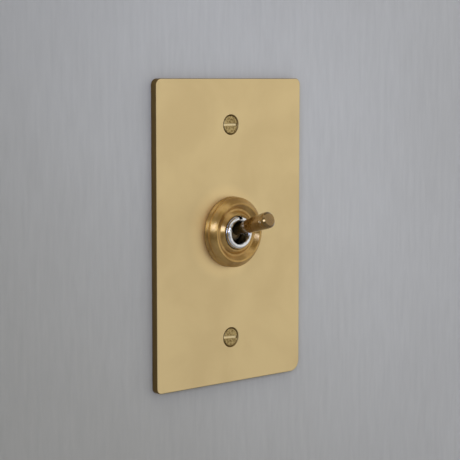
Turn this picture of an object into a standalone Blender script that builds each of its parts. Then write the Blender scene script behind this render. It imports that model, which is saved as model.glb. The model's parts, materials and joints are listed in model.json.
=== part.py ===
"""Brass toggle wall switch: a tall face plate that carries a dolly switch by its threaded bush.

Frame: the plate lies in XZ with +Z up and its front faces -Y. The origin is on the switch's axis, in the
plane of the plate's back rim, so +Y goes into the wall. Turned pieces are drawn as (radius, height) profiles
about local Z, and a quarter turn about X points that local Z out of the wall.
"""
import math

import bmesh
import bpy
from mathutils import Matrix, Vector

MM = 0.001
GAP = 0.3 * MM  # running and seating clearance between neighbours

# Face plate
PLATE_WIDTH = 74.5 * MM
PLATE_HEIGHT = 119.0 * MM
PLATE_THICKNESS = 3.0 * MM
PLATE_CORNERS = {(-1, 1): 2.6 * MM, (1, 1): 2.3 * MM, (-1, -1): 2.1 * MM, (1, -1): 4.6 * MM}
PLATE_EDGE_ROUND = 0.35 * MM
RIM_WIDTH = 4.0 * MM
BACK_RECESS = 0.8 * MM
FIXING_PITCH = 83.34 * MM
COUNTERSINK_RADIUS = 4.0 * MM
FIXING_HOLE_RADIUS = 2.15 * MM

# Fixing screws
SCREW_HEAD_RADIUS = 3.5 * MM
SCREW_SHANK_RADIUS = 1.75 * MM
SCREW_END = 19.0 * MM
SCREW_SLOT_WIDTH = 0.95 * MM
SCREW_SLOT_DEPTH = 1.0 * MM

# Bush, its nuts and washers
BUSH_RADIUS = 6.3 * MM
BUSH_NOSE = -8.9 * MM
BUSH_SHOULDER = 4.8 * MM
BUSH_REAR = 7.0 * MM
SPIGOT_RADIUS = 5.4 * MM
STAKED_RADIUS = 6.2 * MM
BORE_NOSE = 4.6 * MM
BORE_BALL = 4.15 * MM
BORE_REAR = 4.85 * MM
KEYWAY_WIDTH = 1.5 * MM
KEYWAY_DEPTH = 0.9 * MM
ROSETTE_RADIUS = 13.7 * MM
BACK_NUT_ACROSS_FLATS = 17.0 * MM

# Dolly lever, pivoted level with the plate's front face
PIVOT = (0.0, -PLATE_THICKNESS, 0.0)
LEVER_TILT = math.radians(16.0)
BALL_RADIUS = 3.8 * MM
DOLLY_LENGTH = 23.0 * MM
DOLLY_RADIUS = 3.2 * MM
NECK_RADIUS = 2.1 * MM
TAIL_RADIUS = 2.1 * MM
TAIL_BORE = 1.45 * MM
TAIL_LENGTH = 9.3 * MM
TAIL_BORE_END = 1.8 * MM
PIN_RADIUS = 0.75 * MM
PLUNGER_RADIUS = 1.15 * MM
PLUNGER_TIP = 12.0 * MM
PLUNGER_TOP = 7.0 * MM

# Rocker: its tilt follows the lever in the ratio of the two swings
ROCKER_AXIS = (0.0, 10.1 * MM, 0.0)
ROCKER_TILT = math.radians(8.0)
ROCKER_THICKNESS = 1.0 * MM
ROCKER_WIDTH = 7.2 * MM
ROCKER_REACH = 10.8 * MM
TROUGH_HALF = 3.6 * MM
TROUGH_SLOPE = math.radians(16.0)
ARM_OFFSET = 0.6 * MM
LUG_WIDTH = 10.8 * MM
LUG_HEIGHT = 1.6 * MM
CONTACT_REACH = 9.2 * MM

# Body, terminals and frame
BODY_HALF_WIDTH = 9.0 * MM
BODY_HALF_HEIGHT = 16.5 * MM
BODY_FRONT = 6.4 * MM
BODY_REAR = 22.0 * MM
CAVITY_FRONT = 8.0 * MM
CAVITY_HALF_WIDTH = 6.5 * MM
CAVITY_HALF_HEIGHT = 13.5 * MM
BODY_OPENING = 6.5 * MM
BASE_FRONT = BODY_REAR + GAP
BASE_REAR = BASE_FRONT + 2.5 * MM
BARRIER_REAR = 29.0 * MM
STRIP = 1.0 * MM
STRIP_WIDTH = 5.6 * MM
TERMINAL_FACE = BASE_REAR + GAP
TERMINAL_PITCH = 10.5 * MM
TERMINAL_LEG = -5.2 * MM
TERMINAL_SCREW_X = 0.8 * MM
FIXED_CONTACT_FACE = 14.5 * MM
FRAME_FRONT = BUSH_SHOULDER + GAP
FRAME_SIDE = BODY_HALF_WIDTH + GAP
EARTH_HOLE = -21.0 * MM

OUT_OF_WALL = (math.pi / 2, 0.0, 0.0)  # local Z to -Y
INTO_WALL = (-math.pi / 2, 0.0, 0.0)  # local Z to +Y
ALONG_X = (0.0, math.pi / 2, 0.0)  # local Z to +X
SIDE_OUTLINE = (math.pi / 2, 0.0, math.pi / 2)  # local XY to world YZ


def clear_scene():
    for old in list(bpy.data.objects):
        bpy.data.objects.remove(old, do_unlink=True)


def new_collection(name):
    collection = bpy.data.collections.new(name)
    bpy.context.scene.collection.children.link(collection)
    return collection


clear_scene()
PARTS = new_collection("toggle_wall_switch")
CUTTERS = new_collection("cutters")
CUTTERS.hide_render = True


def new_material(name, colour, roughness, metallic):
    material = bpy.data.materials.new(name)
    material.use_nodes = True
    shader = material.node_tree.nodes["Principled BSDF"]
    shader.inputs["Base Color"].default_value = (*colour, 1.0)
    shader.inputs["Roughness"].default_value = roughness
    shader.inputs["Metallic"].default_value = metallic
    return material


SATIN_BRASS = new_material("satin_brass", (0.60, 0.42, 0.19), 0.38, 1.0)
TURNED_BRASS = new_material("turned_brass", (0.52, 0.32, 0.11), 0.22, 1.0)
AGED_BRASS = new_material("aged_brass", (0.36, 0.22, 0.08), 0.34, 1.0)
SCREW_BRASS = new_material("screw_brass", (0.50, 0.36, 0.17), 0.42, 1.0)
CHROME = new_material("chrome", (0.62, 0.60, 0.57), 0.12, 1.0)
ZINC_STEEL = new_material("zinc_steel", (0.52, 0.53, 0.54), 0.35, 1.0)
SPRING_STEEL = new_material("spring_steel", (0.45, 0.45, 0.46), 0.25, 1.0)
COPPER = new_material("copper", (0.72, 0.36, 0.22), 0.30, 1.0)
SILVER = new_material("silver", (0.80, 0.79, 0.76), 0.25, 1.0)
TERMINAL_BRASS = new_material("terminal_brass", (0.62, 0.46, 0.20), 0.32, 1.0)
BODY_PHENOLIC = new_material("body_phenolic", (0.020, 0.018, 0.016), 0.40, 0.0)
BASE_PHENOLIC = new_material("base_phenolic", (0.080, 0.035, 0.018), 0.45, 0.0)
RED_FIBRE = new_material("red_fibre", (0.32, 0.07, 0.04), 0.70, 0.0)
WHITE_NYLON = new_material("white_nylon", (0.72, 0.70, 0.64), 0.45, 0.0)
GREEN_STEEL = new_material("green_steel", (0.05, 0.28, 0.10), 0.30, 1.0)


def place(shape, collection, location, rotation):
    shape.location = location
    shape.rotation_euler = rotation
    collection.objects.link(shape)
    if collection is CUTTERS:
        shape.hide_render = True
        shape.display_type = "WIRE"
    return shape


def from_bmesh(name, bm, material=None, location=(0, 0, 0), rotation=(0, 0, 0)):
    """A part when it is given a material, and a cutter when it isn't."""
    mesh = bpy.data.meshes.new(name)
    bm.to_mesh(mesh)
    bm.free()
    if material is not None:
        mesh.materials.append(material)
    return place(bpy.data.objects.new(name, mesh), PARTS if material else CUTTERS, location, rotation)


def block_bmesh(low, high):
    """A box between two corners, as a bmesh."""
    bm = bmesh.new()
    bmesh.ops.create_cube(bm, size=1.0)
    bmesh.ops.scale(bm, vec=[b - a for a, b in zip(low, high)], verts=bm.verts)
    bmesh.ops.translate(bm, vec=[(a + b) / 2 for a, b in zip(low, high)], verts=bm.verts)
    return bm


def block(name, low, high, material=None, location=(0, 0, 0)):
    return from_bmesh(name, block_bmesh(low, high), material, location)


def turned(name, profile, steps, material=None, location=(0, 0, 0), rotation=OUT_OF_WALL):
    """Revolves (radius, height) points about local Z. They run down the outer side, and a profile that
    doesn't start on the axis is closed into a ring."""
    bm = bmesh.new()
    points = [bm.verts.new((radius, 0.0, height)) for radius, height in profile]
    for start, end in zip(points, points[1:]):
        bm.edges.new((start, end))
    if profile[0][0] > 0.0:
        bm.edges.new((points[-1], points[0]))
    shape = from_bmesh(name, bm, material, location, rotation)
    screw = shape.modifiers.new("revolve", "SCREW")
    screw.axis = "Z"
    screw.steps = steps
    screw.render_steps = steps
    screw.use_merge_vertices = True
    screw.merge_threshold = 0.000001
    return shape


def rod(name, radius, low, high, steps=24, location=(0, 0, 0), rotation=OUT_OF_WALL):
    """A round cutter between two heights of its local Z."""
    profile = [(0, high), (radius, high), (radius, low), (0, low)]
    return turned(name, profile, steps, None, location, rotation)


def washer(name, inner, outer, front, rear, material, steps=40, location=(0, 0, 0)):
    """A flat ring between two planes, given by their Y."""
    profile = [(inner, -front), (outer, -front), (outer, -rear), (inner, -rear)]
    return turned(name, profile, steps, material, location)


def curve_to_mesh(name, curve, material, location, rotation):
    """Turns a curve into a closed mesh part, with its caps welded."""
    guide = bpy.data.objects.new(name + "_guide", curve)
    bpy.context.scene.collection.objects.link(guide)
    depsgraph = bpy.context.evaluated_depsgraph_get()
    mesh = bpy.data.meshes.new_from_object(guide.evaluated_get(depsgraph))
    bpy.data.objects.remove(guide, do_unlink=True)
    bm = bmesh.new()
    bm.from_mesh(mesh)
    bpy.data.meshes.remove(mesh)
    bmesh.ops.remove_doubles(bm, verts=bm.verts, dist=0.000001)
    bmesh.ops.recalc_face_normals(bm, faces=bm.faces)
    return from_bmesh(name, bm, material, location, rotation)


def sheet(name, outline, width, material, location=(0, 0, 0), rotation=(0, 0, 0)):
    """A closed outline in local XY, extruded to the given width along local Z."""
    curve = bpy.data.curves.new(name, "CURVE")
    curve.dimensions = "2D"
    curve.fill_mode = "BOTH"
    curve.extrude = width / 2
    curve.render_resolution_u = 0
    spline = curve.splines.new("POLY")
    spline.points.add(len(outline) - 1)
    spline.use_cyclic_u = True
    for point, (x, y) in zip(spline.points, outline):
        point.co = (x, y, 0.0, 1.0)
    return curve_to_mesh(name, curve, material, location, rotation)


def combine(part, tool, operation):
    modifier = part.modifiers.new(operation.lower(), "BOOLEAN")
    modifier.operation = operation
    modifier.solver = "EXACT"
    modifier.object = tool
    return part


def cut(part, tool):
    return combine(part, tool, "DIFFERENCE")


def join(part, tool):
    return combine(part, tool, "UNION")


def arc(centre, radius, start, end, count):
    """Points on an arc of (radius, height), with its angles in degrees from the radial direction."""
    angles = [math.radians(start + (end - start) * i / (count - 1)) for i in range(count)]
    return [(centre[0] + radius * math.cos(a), centre[1] + radius * math.sin(a)) for a in angles]


def face_plate():
    """Solid plate with rounded corners, a softened front arris and a shallow recess behind."""
    half_width, half_height = PLATE_WIDTH / 2, PLATE_HEIGHT / 2
    bm = block_bmesh((-half_width, -PLATE_THICKNESS, -half_height), (half_width, 0.0, half_height))
    for (side, end), radius in PLATE_CORNERS.items():
        spot = Vector((side * half_width, end * half_height))
        corner = [e for e in bm.edges if all((v.co.xz - spot).length < 0.01 * MM for v in e.verts)]
        bmesh.ops.bevel(bm, geom=corner, offset=radius, segments=8, profile=0.5, affect="EDGES")
    arris = [e for e in bm.edges if all(v.co.y < -PLATE_THICKNESS / 2 for v in e.verts)]
    bmesh.ops.bevel(bm, geom=arris, offset=PLATE_EDGE_ROUND, segments=2, profile=0.5, affect="EDGES")
    plate = from_bmesh("face_plate", bm, SATIN_BRASS)

    edge_x, edge_z = half_width - RIM_WIDTH, half_height - RIM_WIDTH
    cut(plate, block("recess_cutter", (-edge_x, -BACK_RECESS, -edge_z), (edge_x, 2 * MM, edge_z)))
    cut(plate, rod("bush_hole_cutter", BUSH_RADIUS + GAP, -2 * MM, PLATE_THICKNESS + 2 * MM, 48))

    depth = COUNTERSINK_RADIUS - FIXING_HOLE_RADIUS
    front = PLATE_THICKNESS
    profile = [
        (0, front + MM),
        (COUNTERSINK_RADIUS + MM, front + MM),
        (FIXING_HOLE_RADIUS, front - depth),
        (FIXING_HOLE_RADIUS, -2 * MM),
        (0, -2 * MM),
    ]
    for side in (1, -1):
        spot = (0.0, 0.0, side * FIXING_PITCH / 2)
        cut(plate, turned("countersink_cutter", profile, 32, None, spot))
    return plate


def slot_cutter(name, radius, bottom, top, width, location=(0, 0, 0)):
    """A box across a screw head, between two planes of Y."""
    return block(name, (-radius, bottom, -width / 2), (radius, top, width / 2), None, location)


def fixing_screws():
    """Countersunk slotted screws that hold the plate to the wall box, with a captive washer each."""
    head_front = PLATE_THICKNESS - 0.1 * MM
    cone_end = head_front - 0.2 * MM - (SCREW_HEAD_RADIUS - SCREW_SHANK_RADIUS)
    profile = [
        (0, head_front),
        (SCREW_HEAD_RADIUS - 0.2 * MM, head_front),
        (SCREW_HEAD_RADIUS, head_front - 0.2 * MM),
        (SCREW_SHANK_RADIUS, cone_end),
        (SCREW_SHANK_RADIUS, -SCREW_END + MM),
        (SCREW_SHANK_RADIUS - 0.6 * MM, -SCREW_END),
        (0, -SCREW_END),
    ]
    for label, side in (("top", 1), ("bottom", -1)):
        spot = (0.0, 0.0, side * FIXING_PITCH / 2)
        screw = turned("fixing_screw_" + label, profile, 28, SCREW_BRASS, spot)
        slot_bottom = -head_front + SCREW_SLOT_DEPTH
        cut(screw, slot_cutter("fixing_slot_cutter", 5 * MM, -5 * MM, slot_bottom, SCREW_SLOT_WIDTH, spot))
        inner = SCREW_SHANK_RADIUS + GAP
        washer("captive_washer_" + label, inner, 4.2 * MM, -0.5 * MM, 0.4 * MM, WHITE_NYLON, 24, spot)


def rosette_nut():
    """Turned nut that clamps the plate to the bush: base band, roll, raised rim and inner collar."""
    bore = BUSH_RADIUS + GAP
    base = PLATE_THICKNESS + GAP
    profile = [
        (bore, base + 3.0 * MM),
        (6.8 * MM, base + 3.8 * MM),
        (7.3 * MM, base + 4.1 * MM),
        (8.7 * MM, base + 3.25 * MM),
        (9.3 * MM, base + 3.25 * MM),
        (10.9 * MM, base + 4.6 * MM),
        (11.5 * MM, base + 4.7 * MM),
        (12.6 * MM, base + 3.85 * MM),
        (13.5 * MM, base + 2.75 * MM),
        (ROSETTE_RADIUS, base + 1.7 * MM),
        (13.4 * MM, base + 1.2 * MM),
        (ROSETTE_RADIUS, base + 0.9 * MM),
        (ROSETTE_RADIUS, base),
        (bore, base),
    ]
    return turned("rosette_nut", profile, 48, TURNED_BRASS)


def threaded_bush():
    """Plated bush with a round lip, a keyway, a cross hole for the pivot and a staked rear spigot."""
    nose = -BUSH_NOSE
    profile = [
        (BORE_NOSE, nose - 0.6 * MM),
        (BORE_NOSE + 0.4 * MM, nose - 0.1 * MM),
        (BORE_NOSE + 0.8 * MM, nose),
        (BUSH_RADIUS - 0.6 * MM, nose - 0.1 * MM),
        (BUSH_RADIUS, nose - 0.8 * MM),
        (BUSH_RADIUS, -BUSH_SHOULDER),
        (SPIGOT_RADIUS, -BUSH_SHOULDER),
        (SPIGOT_RADIUS, -BODY_FRONT),
        (STAKED_RADIUS, -BODY_FRONT),
        (SPIGOT_RADIUS, -BUSH_REAR),
        (BORE_REAR, -BUSH_REAR),
        (BORE_REAR, -3.0 * MM),
        (BORE_BALL, -0.5 * MM),
        (BORE_BALL, PLATE_THICKNESS + 2.6 * MM),
        (BORE_NOSE, PLATE_THICKNESS + 3.2 * MM),
    ]
    bush = turned("threaded_bush", profile, 48, CHROME)
    half = KEYWAY_WIDTH / 2
    floor = BUSH_RADIUS - KEYWAY_DEPTH
    cut(bush, block("keyway_cutter", (-half, BUSH_NOSE - MM, floor), (half, BUSH_SHOULDER - MM, 9 * MM)))
    return cut(bush, rod("pin_hole_cutter", PIN_RADIUS + GAP, -9 * MM, 9 * MM, 20, PIVOT, ALONG_X))


def mounting_stack():
    """Insulating washer, toothed lock washer and hexagon nut behind the plate."""
    inner = BUSH_RADIUS + GAP
    washer("fibre_washer", inner, 10.5 * MM, -0.5 * MM, 0.3 * MM, RED_FIBRE)

    lock = washer("lock_washer", inner, 9.6 * MM, 0.6 * MM, 1.3 * MM, SPRING_STEEL)
    teeth = 12
    notches = bmesh.new()
    for i in range(teeth):
        notch = block_bmesh((-0.6 * MM, 0.2 * MM, inner - MM), (0.6 * MM, 1.7 * MM, 8.2 * MM))
        turn = Matrix.Rotation(math.tau * (i + 0.5) / teeth, 3, "Y")
        bmesh.ops.rotate(notch, matrix=turn, verts=notch.verts)
        copy = bpy.data.meshes.new("notch")
        notch.to_mesh(copy)
        notch.free()
        notches.from_mesh(copy)
        bpy.data.meshes.remove(copy)
    cut(lock, from_bmesh("tooth_cutter", notches))

    bm = bmesh.new()
    across_corners = BACK_NUT_ACROSS_FLATS / math.cos(math.pi / 6)
    radius = across_corners / 2
    bmesh.ops.create_cone(bm, cap_ends=True, segments=6, radius1=radius, radius2=radius, depth=2.8 * MM)
    nut = from_bmesh("back_nut", bm, ZINC_STEEL, (0.0, 3.0 * MM, 0.0), OUT_OF_WALL)
    cut(nut, rod("nut_bore_cutter", inner, -9 * MM, 9 * MM, 40))


def toggle_lever():
    """Dolly, ball and hollow tail in one turned piece, with a cross hole for the pivot pin."""
    neck_angle = math.degrees(math.acos(NECK_RADIUS / BALL_RADIUS))
    tail_angle = -math.degrees(math.acos(TAIL_RADIUS / BALL_RADIUS))
    profile = [
        (0, DOLLY_LENGTH),
        (2.5 * MM, DOLLY_LENGTH),
        (3.0 * MM, DOLLY_LENGTH - 0.35 * MM),
        (DOLLY_RADIUS, DOLLY_LENGTH - 1.0 * MM),
        (DOLLY_RADIUS, DOLLY_LENGTH - 2.8 * MM),
        (3.0 * MM, 14.5 * MM),
        (2.75 * MM, 11.0 * MM),
        (2.15 * MM, 6.5 * MM),
        *arc((0, 0), BALL_RADIUS, neck_angle, tail_angle, 10),
        (TAIL_RADIUS, -TAIL_LENGTH),
        (TAIL_BORE, -TAIL_LENGTH),
        (TAIL_BORE, -TAIL_BORE_END),
        (0, -TAIL_BORE_END),
    ]
    tilt = (math.pi / 2 - LEVER_TILT, 0.0, 0.0)
    lever = turned("toggle_lever", profile, 32, AGED_BRASS, PIVOT, tilt)
    return cut(lever, rod("ball_hole_cutter", PIN_RADIUS + GAP, -9 * MM, 9 * MM, 20, PIVOT, ALONG_X))


def pivot_pin():
    half = BUSH_RADIUS - 0.4 * MM
    profile = [
        (0, half),
        (PIN_RADIUS - 0.15 * MM, half),
        (PIN_RADIUS, half - 0.2 * MM),
        (PIN_RADIUS, -half + 0.2 * MM),
        (PIN_RADIUS - 0.15 * MM, -half),
        (0, -half),
    ]
    return turned("pivot_pin", profile, 16, SPRING_STEEL, PIVOT, ALONG_X)


def spring_plunger():
    """Plunger in the lever's tail, and the coil spring that pushes it against the rocker."""
    tilt = (math.pi / 2 - LEVER_TILT, 0.0, 0.0)
    dome = arc((0, -PLUNGER_TIP + PLUNGER_RADIUS), PLUNGER_RADIUS, 0, -90, 6)
    profile = [(0, -PLUNGER_TOP), (PLUNGER_RADIUS, -PLUNGER_TOP), *dome[:-1], (0, -PLUNGER_TIP)]
    turned("plunger", profile, 20, SPRING_STEEL, PIVOT, tilt)

    wire = 0.16 * MM
    coil = 0.9 * MM
    turns, per_turn = 5, 10
    top = -TAIL_BORE_END - GAP - wire
    bottom = -PLUNGER_TOP + GAP + wire
    curve = bpy.data.curves.new("plunger_spring", "CURVE")
    curve.dimensions = "3D"
    curve.bevel_depth = wire
    curve.bevel_resolution = 2
    curve.use_fill_caps = True
    curve.render_resolution_u = 0
    spline = curve.splines.new("POLY")
    spline.points.add(turns * per_turn)
    for i, point in enumerate(spline.points):
        angle = math.tau * i / per_turn
        height = top + (bottom - top) * i / (turns * per_turn)
        point.co = (coil * math.cos(angle), coil * math.sin(angle), height, 1.0)
    curve_to_mesh("plunger_spring", curve, SPRING_STEEL, PIVOT, tilt)


def rivet(name, front, strip_front, strip_rear, tail, material, location, rotation):
    """A contact rivet through a strip: a domed head, a shank with clearance and an upset tail.
    Heights grow towards the domed contact face."""
    shank, head, upset = 0.7 * MM, 1.4 * MM, 1.1 * MM
    profile = [
        (0, front),
        (head * 0.6, front - 0.1 * MM),
        (head, front - 0.4 * MM),
        (head, strip_front),
        (shank, strip_front),
        (shank, strip_rear),
        (upset, strip_rear),
        (upset, tail),
        (0, tail),
    ]
    return turned(name, profile, 20, material, location, rotation)


def rocker():
    """Formed copper strip: a trough that the plunger rides in, two arms, and trunnion lugs on the axis.
    Each arm carries a silver contact rivet."""
    half = ROCKER_THICKNESS / 2
    peak = TROUGH_HALF * math.tan(TROUGH_SLOPE)
    level = 7.2 * MM
    front = [(-half, 0.0), (-half - peak, TROUGH_HALF), (ARM_OFFSET, level), (ARM_OFFSET, ROCKER_REACH)]
    rear = [(y + ROCKER_THICKNESS, z) for y, z in front]
    upper = front + rear[:0:-1]
    lower = [(y, -z) for y, z in upper if z > 0.0]
    outline = upper + [rear[0]] + lower[::-1]
    strip = sheet("rocker", outline, ROCKER_WIDTH, COPPER, ROCKER_AXIS, SIDE_OUTLINE)
    tilt_part(strip)
    lug_low = (-LUG_WIDTH / 2, -half, -LUG_HEIGHT / 2)
    lug_high = (LUG_WIDTH / 2, half, LUG_HEIGHT / 2)
    lugs = block("lug_adder", lug_low, lug_high, None, ROCKER_AXIS)
    tilt_part(lugs)
    join(strip, lugs)
    for label, side in (("top", 1), ("bottom", -1)):
        spot = on_rocker(0.0, side * CONTACT_REACH)
        hole = rod("rocker_hole_cutter", 1.0 * MM, -4 * MM, 4 * MM, 16, spot)
        tilt_part(hole)
        cut(strip, hole)
        near = ARM_OFFSET - GAP
        far = ARM_OFFSET + ROCKER_THICKNESS + GAP
        name = "moving_contact_" + label
        contact = rivet(name, far + 0.8 * MM, far, near, near - 0.4 * MM, SILVER, spot, INTO_WALL)
        tilt_part(contact)


def tilt_part(part):
    """Adds the rocker's rest tilt to a piece that is already turned about the world's axes."""
    tilt = Matrix.Rotation(ROCKER_TILT, 3, "X")
    part.rotation_euler = (tilt @ part.rotation_euler.to_matrix()).to_euler()


def on_rocker(y, z):
    """World place of a point of the rocker, from its untilted offset in Y and Z."""
    return Vector(ROCKER_AXIS) + Matrix.Rotation(ROCKER_TILT, 3, "X") @ Vector((0.0, y, z))


def terminals():
    """Common terminal with the rocker's cradle, and an end terminal with a fixed contact at each end."""
    leg = TERMINAL_LEG
    inner_leg = leg + STRIP
    pad_end = -leg - 0.2 * MM
    pad_rear = TERMINAL_FACE + STRIP
    cradle_front = 9.0 * MM
    bridge = 19.5 * MM
    outline = [
        (leg, cradle_front),
        (inner_leg, cradle_front),
        (inner_leg, bridge),
        (-inner_leg, bridge),
        (-inner_leg, cradle_front),
        (-leg, cradle_front),
        (-leg, bridge + STRIP),
        (inner_leg, bridge + STRIP),
        (inner_leg, TERMINAL_FACE),
        (pad_end, TERMINAL_FACE),
        (pad_end, pad_rear),
        (leg, pad_rear),
    ]
    common = sheet("common_terminal", outline, STRIP_WIDTH, TERMINAL_BRASS)
    notch = LUG_HEIGHT / 2 + 0.35 * MM
    notch_floor = ROCKER_AXIS[1] + ROCKER_THICKNESS / 2 + 0.35 * MM
    cut(common, block("notch_cutter", (-8 * MM, 8 * MM, -notch), (8 * MM, notch_floor, notch)))
    cut(common, terminal_hole(0.0))

    shelf = FIXED_CONTACT_FACE + 0.8 * MM + GAP
    outline = [
        (leg, shelf),
        (3.0 * MM, shelf),
        (3.0 * MM, shelf + STRIP),
        (inner_leg, shelf + STRIP),
        (inner_leg, TERMINAL_FACE),
        (pad_end, TERMINAL_FACE),
        (pad_end, pad_rear),
        (leg, pad_rear),
    ]
    for label, side in (("top", 1), ("bottom", -1)):
        z = side * TERMINAL_PITCH
        end = sheet("end_terminal_" + label, outline, STRIP_WIDTH, TERMINAL_BRASS, (0.0, 0.0, z))
        cut(end, terminal_hole(z))
        spot = (0.0, 0.0, side * CONTACT_REACH)
        cut(end, rod("shelf_hole_cutter", 1.0 * MM, -18 * MM, -12 * MM, 16, spot))
        name = "fixed_contact_" + label
        tail = -shelf - STRIP - GAP
        rivet(name, -FIXED_CONTACT_FACE, -shelf + GAP, tail, tail - 0.4 * MM, SILVER, spot, OUT_OF_WALL)


def terminal_hole(z):
    """Clearance hole for a terminal's screw, through everything behind the body."""
    spot = (TERMINAL_SCREW_X, 0.0, z)
    return rod("terminal_hole_cutter", 2.0 * MM, -TERMINAL_FACE - 5 * MM, -BODY_REAR, 20, spot)


def pan_screw(name, seat, end, material, location):
    """Slotted pan-head screw. Its head sits behind the seat plane and its shank runs forward to its end."""
    head, shank = 3.0 * MM, 1.7 * MM
    top = seat + 1.8 * MM
    profile = [
        (0, top),
        (head - 0.7 * MM, top),
        (head, top - 0.6 * MM),
        (head, seat),
        (shank, seat),
        (shank, end + 0.4 * MM),
        (shank - 0.4 * MM, end),
        (0, end),
    ]
    screw = turned(name, profile, 20, material, location, INTO_WALL)
    return cut(screw, slot_cutter("pan_slot_cutter", 4 * MM, top - 0.9 * MM, top + MM, 0.9 * MM, location))


def terminal_fastenings():
    """A saddle plate and a screw on each terminal pad."""
    pad_rear = TERMINAL_FACE + STRIP
    low = (-2.8 * MM, pad_rear + GAP, -2.6 * MM)
    high = (4.4 * MM, pad_rear + GAP + 0.8 * MM, 2.6 * MM)
    for label, z in (("top", TERMINAL_PITCH), ("common", 0.0), ("bottom", -TERMINAL_PITCH)):
        saddle = block("wire_saddle_" + label, low, high, ZINC_STEEL, (0.0, 0.0, z))
        cut(saddle, terminal_hole(z))
        spot = (TERMINAL_SCREW_X, 0.0, z)
        pan_screw("terminal_screw_" + label, high[1] + GAP, BODY_REAR - 0.2 * MM, SCREW_BRASS, spot)


def switch_body():
    """Moulded body, open at the back, with a round opening in front for the bush and the lever's tail."""
    half_x, half_z = BODY_HALF_WIDTH, BODY_HALF_HEIGHT
    bm = block_bmesh((-half_x, BODY_FRONT, -half_z), (half_x, BODY_REAR, half_z))
    upright = [e for e in bm.edges if abs(e.verts[0].co.y - e.verts[1].co.y) > MM]
    bmesh.ops.bevel(bm, geom=upright, offset=1.0 * MM, segments=2, profile=0.5, affect="EDGES")
    body = from_bmesh("switch_body", bm, BODY_PHENOLIC)
    low = (-CAVITY_HALF_WIDTH, CAVITY_FRONT, -CAVITY_HALF_HEIGHT)
    high = (CAVITY_HALF_WIDTH, BODY_REAR + MM, CAVITY_HALF_HEIGHT)
    cut(body, block("cavity_cutter", low, high))
    return cut(body, rod("body_opening_cutter", BODY_OPENING, -9 * MM, -5 * MM, 40))


def rear_base():
    """Moulded base that closes the body: leg slots, screw holes and two barriers between the terminals."""
    half_x, half_z = BODY_HALF_WIDTH, BODY_HALF_HEIGHT
    base = block("rear_base", (-half_x, BASE_FRONT, -half_z), (half_x, BASE_REAR, half_z), BASE_PHENOLIC)
    for side in (1, -1):
        z = side * TERMINAL_PITCH / 2
        low = (-half_x + 1.6 * MM, BASE_REAR - MM, z - 0.7 * MM)
        high = (half_x - 1.6 * MM, BARRIER_REAR, z + 0.7 * MM)
        join(base, block("barrier_adder", low, high))
    slot_half = STRIP_WIDTH / 2 + GAP
    for z in (TERMINAL_PITCH, 0.0, -TERMINAL_PITCH):
        low = (TERMINAL_LEG - GAP, BASE_FRONT - MM, z - slot_half)
        high = (TERMINAL_LEG + STRIP + GAP, BASE_REAR + MM, z + slot_half)
        cut(base, block("leg_slot_cutter", low, high))
        cut(base, terminal_hole(z))
    return base


def steel_frame():
    """Bridge staked to the bush, with side straps bent over behind the base and an earthing tab below."""
    rear = FRAME_FRONT + STRIP
    outer = FRAME_SIDE + STRIP
    half_z = BODY_HALF_HEIGHT
    strap = 5.5 * MM
    hook_front = BASE_REAR + GAP
    outline = [
        (-outer, FRAME_FRONT),
        (outer, FRAME_FRONT),
        (outer, hook_front + STRIP),
        (FRAME_SIDE - 1.6 * MM, hook_front + STRIP),
        (FRAME_SIDE - 1.6 * MM, hook_front),
        (FRAME_SIDE, hook_front),
        (FRAME_SIDE, rear),
        (-FRAME_SIDE, rear),
        (-FRAME_SIDE, hook_front),
        (-FRAME_SIDE + 1.6 * MM, hook_front),
        (-FRAME_SIDE + 1.6 * MM, hook_front + STRIP),
        (-outer, hook_front + STRIP),
    ]
    frame = sheet("steel_frame", outline, 2 * strap, ZINC_STEEL)
    bridge = block("bridge_adder", (-FRAME_SIDE, FRAME_FRONT, -half_z), (FRAME_SIDE, rear, half_z))
    tab = block("tab_adder", (-4.5 * MM, FRAME_FRONT, -25 * MM), (4.5 * MM, rear, -half_z + MM))
    join(frame, bridge)
    join(frame, tab)
    cut(frame, rod("spigot_hole_cutter", SPIGOT_RADIUS + GAP, -9 * MM, -2 * MM, 40))
    cut(frame, rod("earth_hole_cutter", 2.0 * MM, -9 * MM, -2 * MM, 20, (0.0, 0.0, EARTH_HOLE)))
    pan_screw("earth_screw", rear + GAP, 2.2 * MM, GREEN_STEEL, (0.0, 0.0, EARTH_HOLE))
    return frame


def settle(part):
    """Applies a part's modifiers and shades its round faces smooth."""
    depsgraph = bpy.context.evaluated_depsgraph_get()
    mesh = bpy.data.meshes.new_from_object(part.evaluated_get(depsgraph))
    part.modifiers.clear()
    part.data = mesh
    mesh.name = part.name
    mesh.shade_smooth()
    mesh.set_sharp_from_angle(angle=math.radians(35.0))


face_plate()
fixing_screws()
rosette_nut()
threaded_bush()
mounting_stack()
toggle_lever()
pivot_pin()
spring_plunger()
rocker()
terminals()
terminal_fastenings()
switch_body()
rear_base()
steel_frame()

for built in PARTS.objects:
    settle(built)
print(len(PARTS.objects), "parts")
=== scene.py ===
# %% [markdown]
# # A brass toggle wall switch
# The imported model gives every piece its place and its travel. This script gives each piece its finished
# surface: spun and bevelled meshes where light would catch an edge, and metals that show how they were made.
# A satin plate, a turned rosette, a plated bush and an aged dolly lever are in front, and the switch is
# behind.

# %% Load the frame
import json
import math

import bmesh
import bpy
from mathutils import Matrix, Vector


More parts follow.
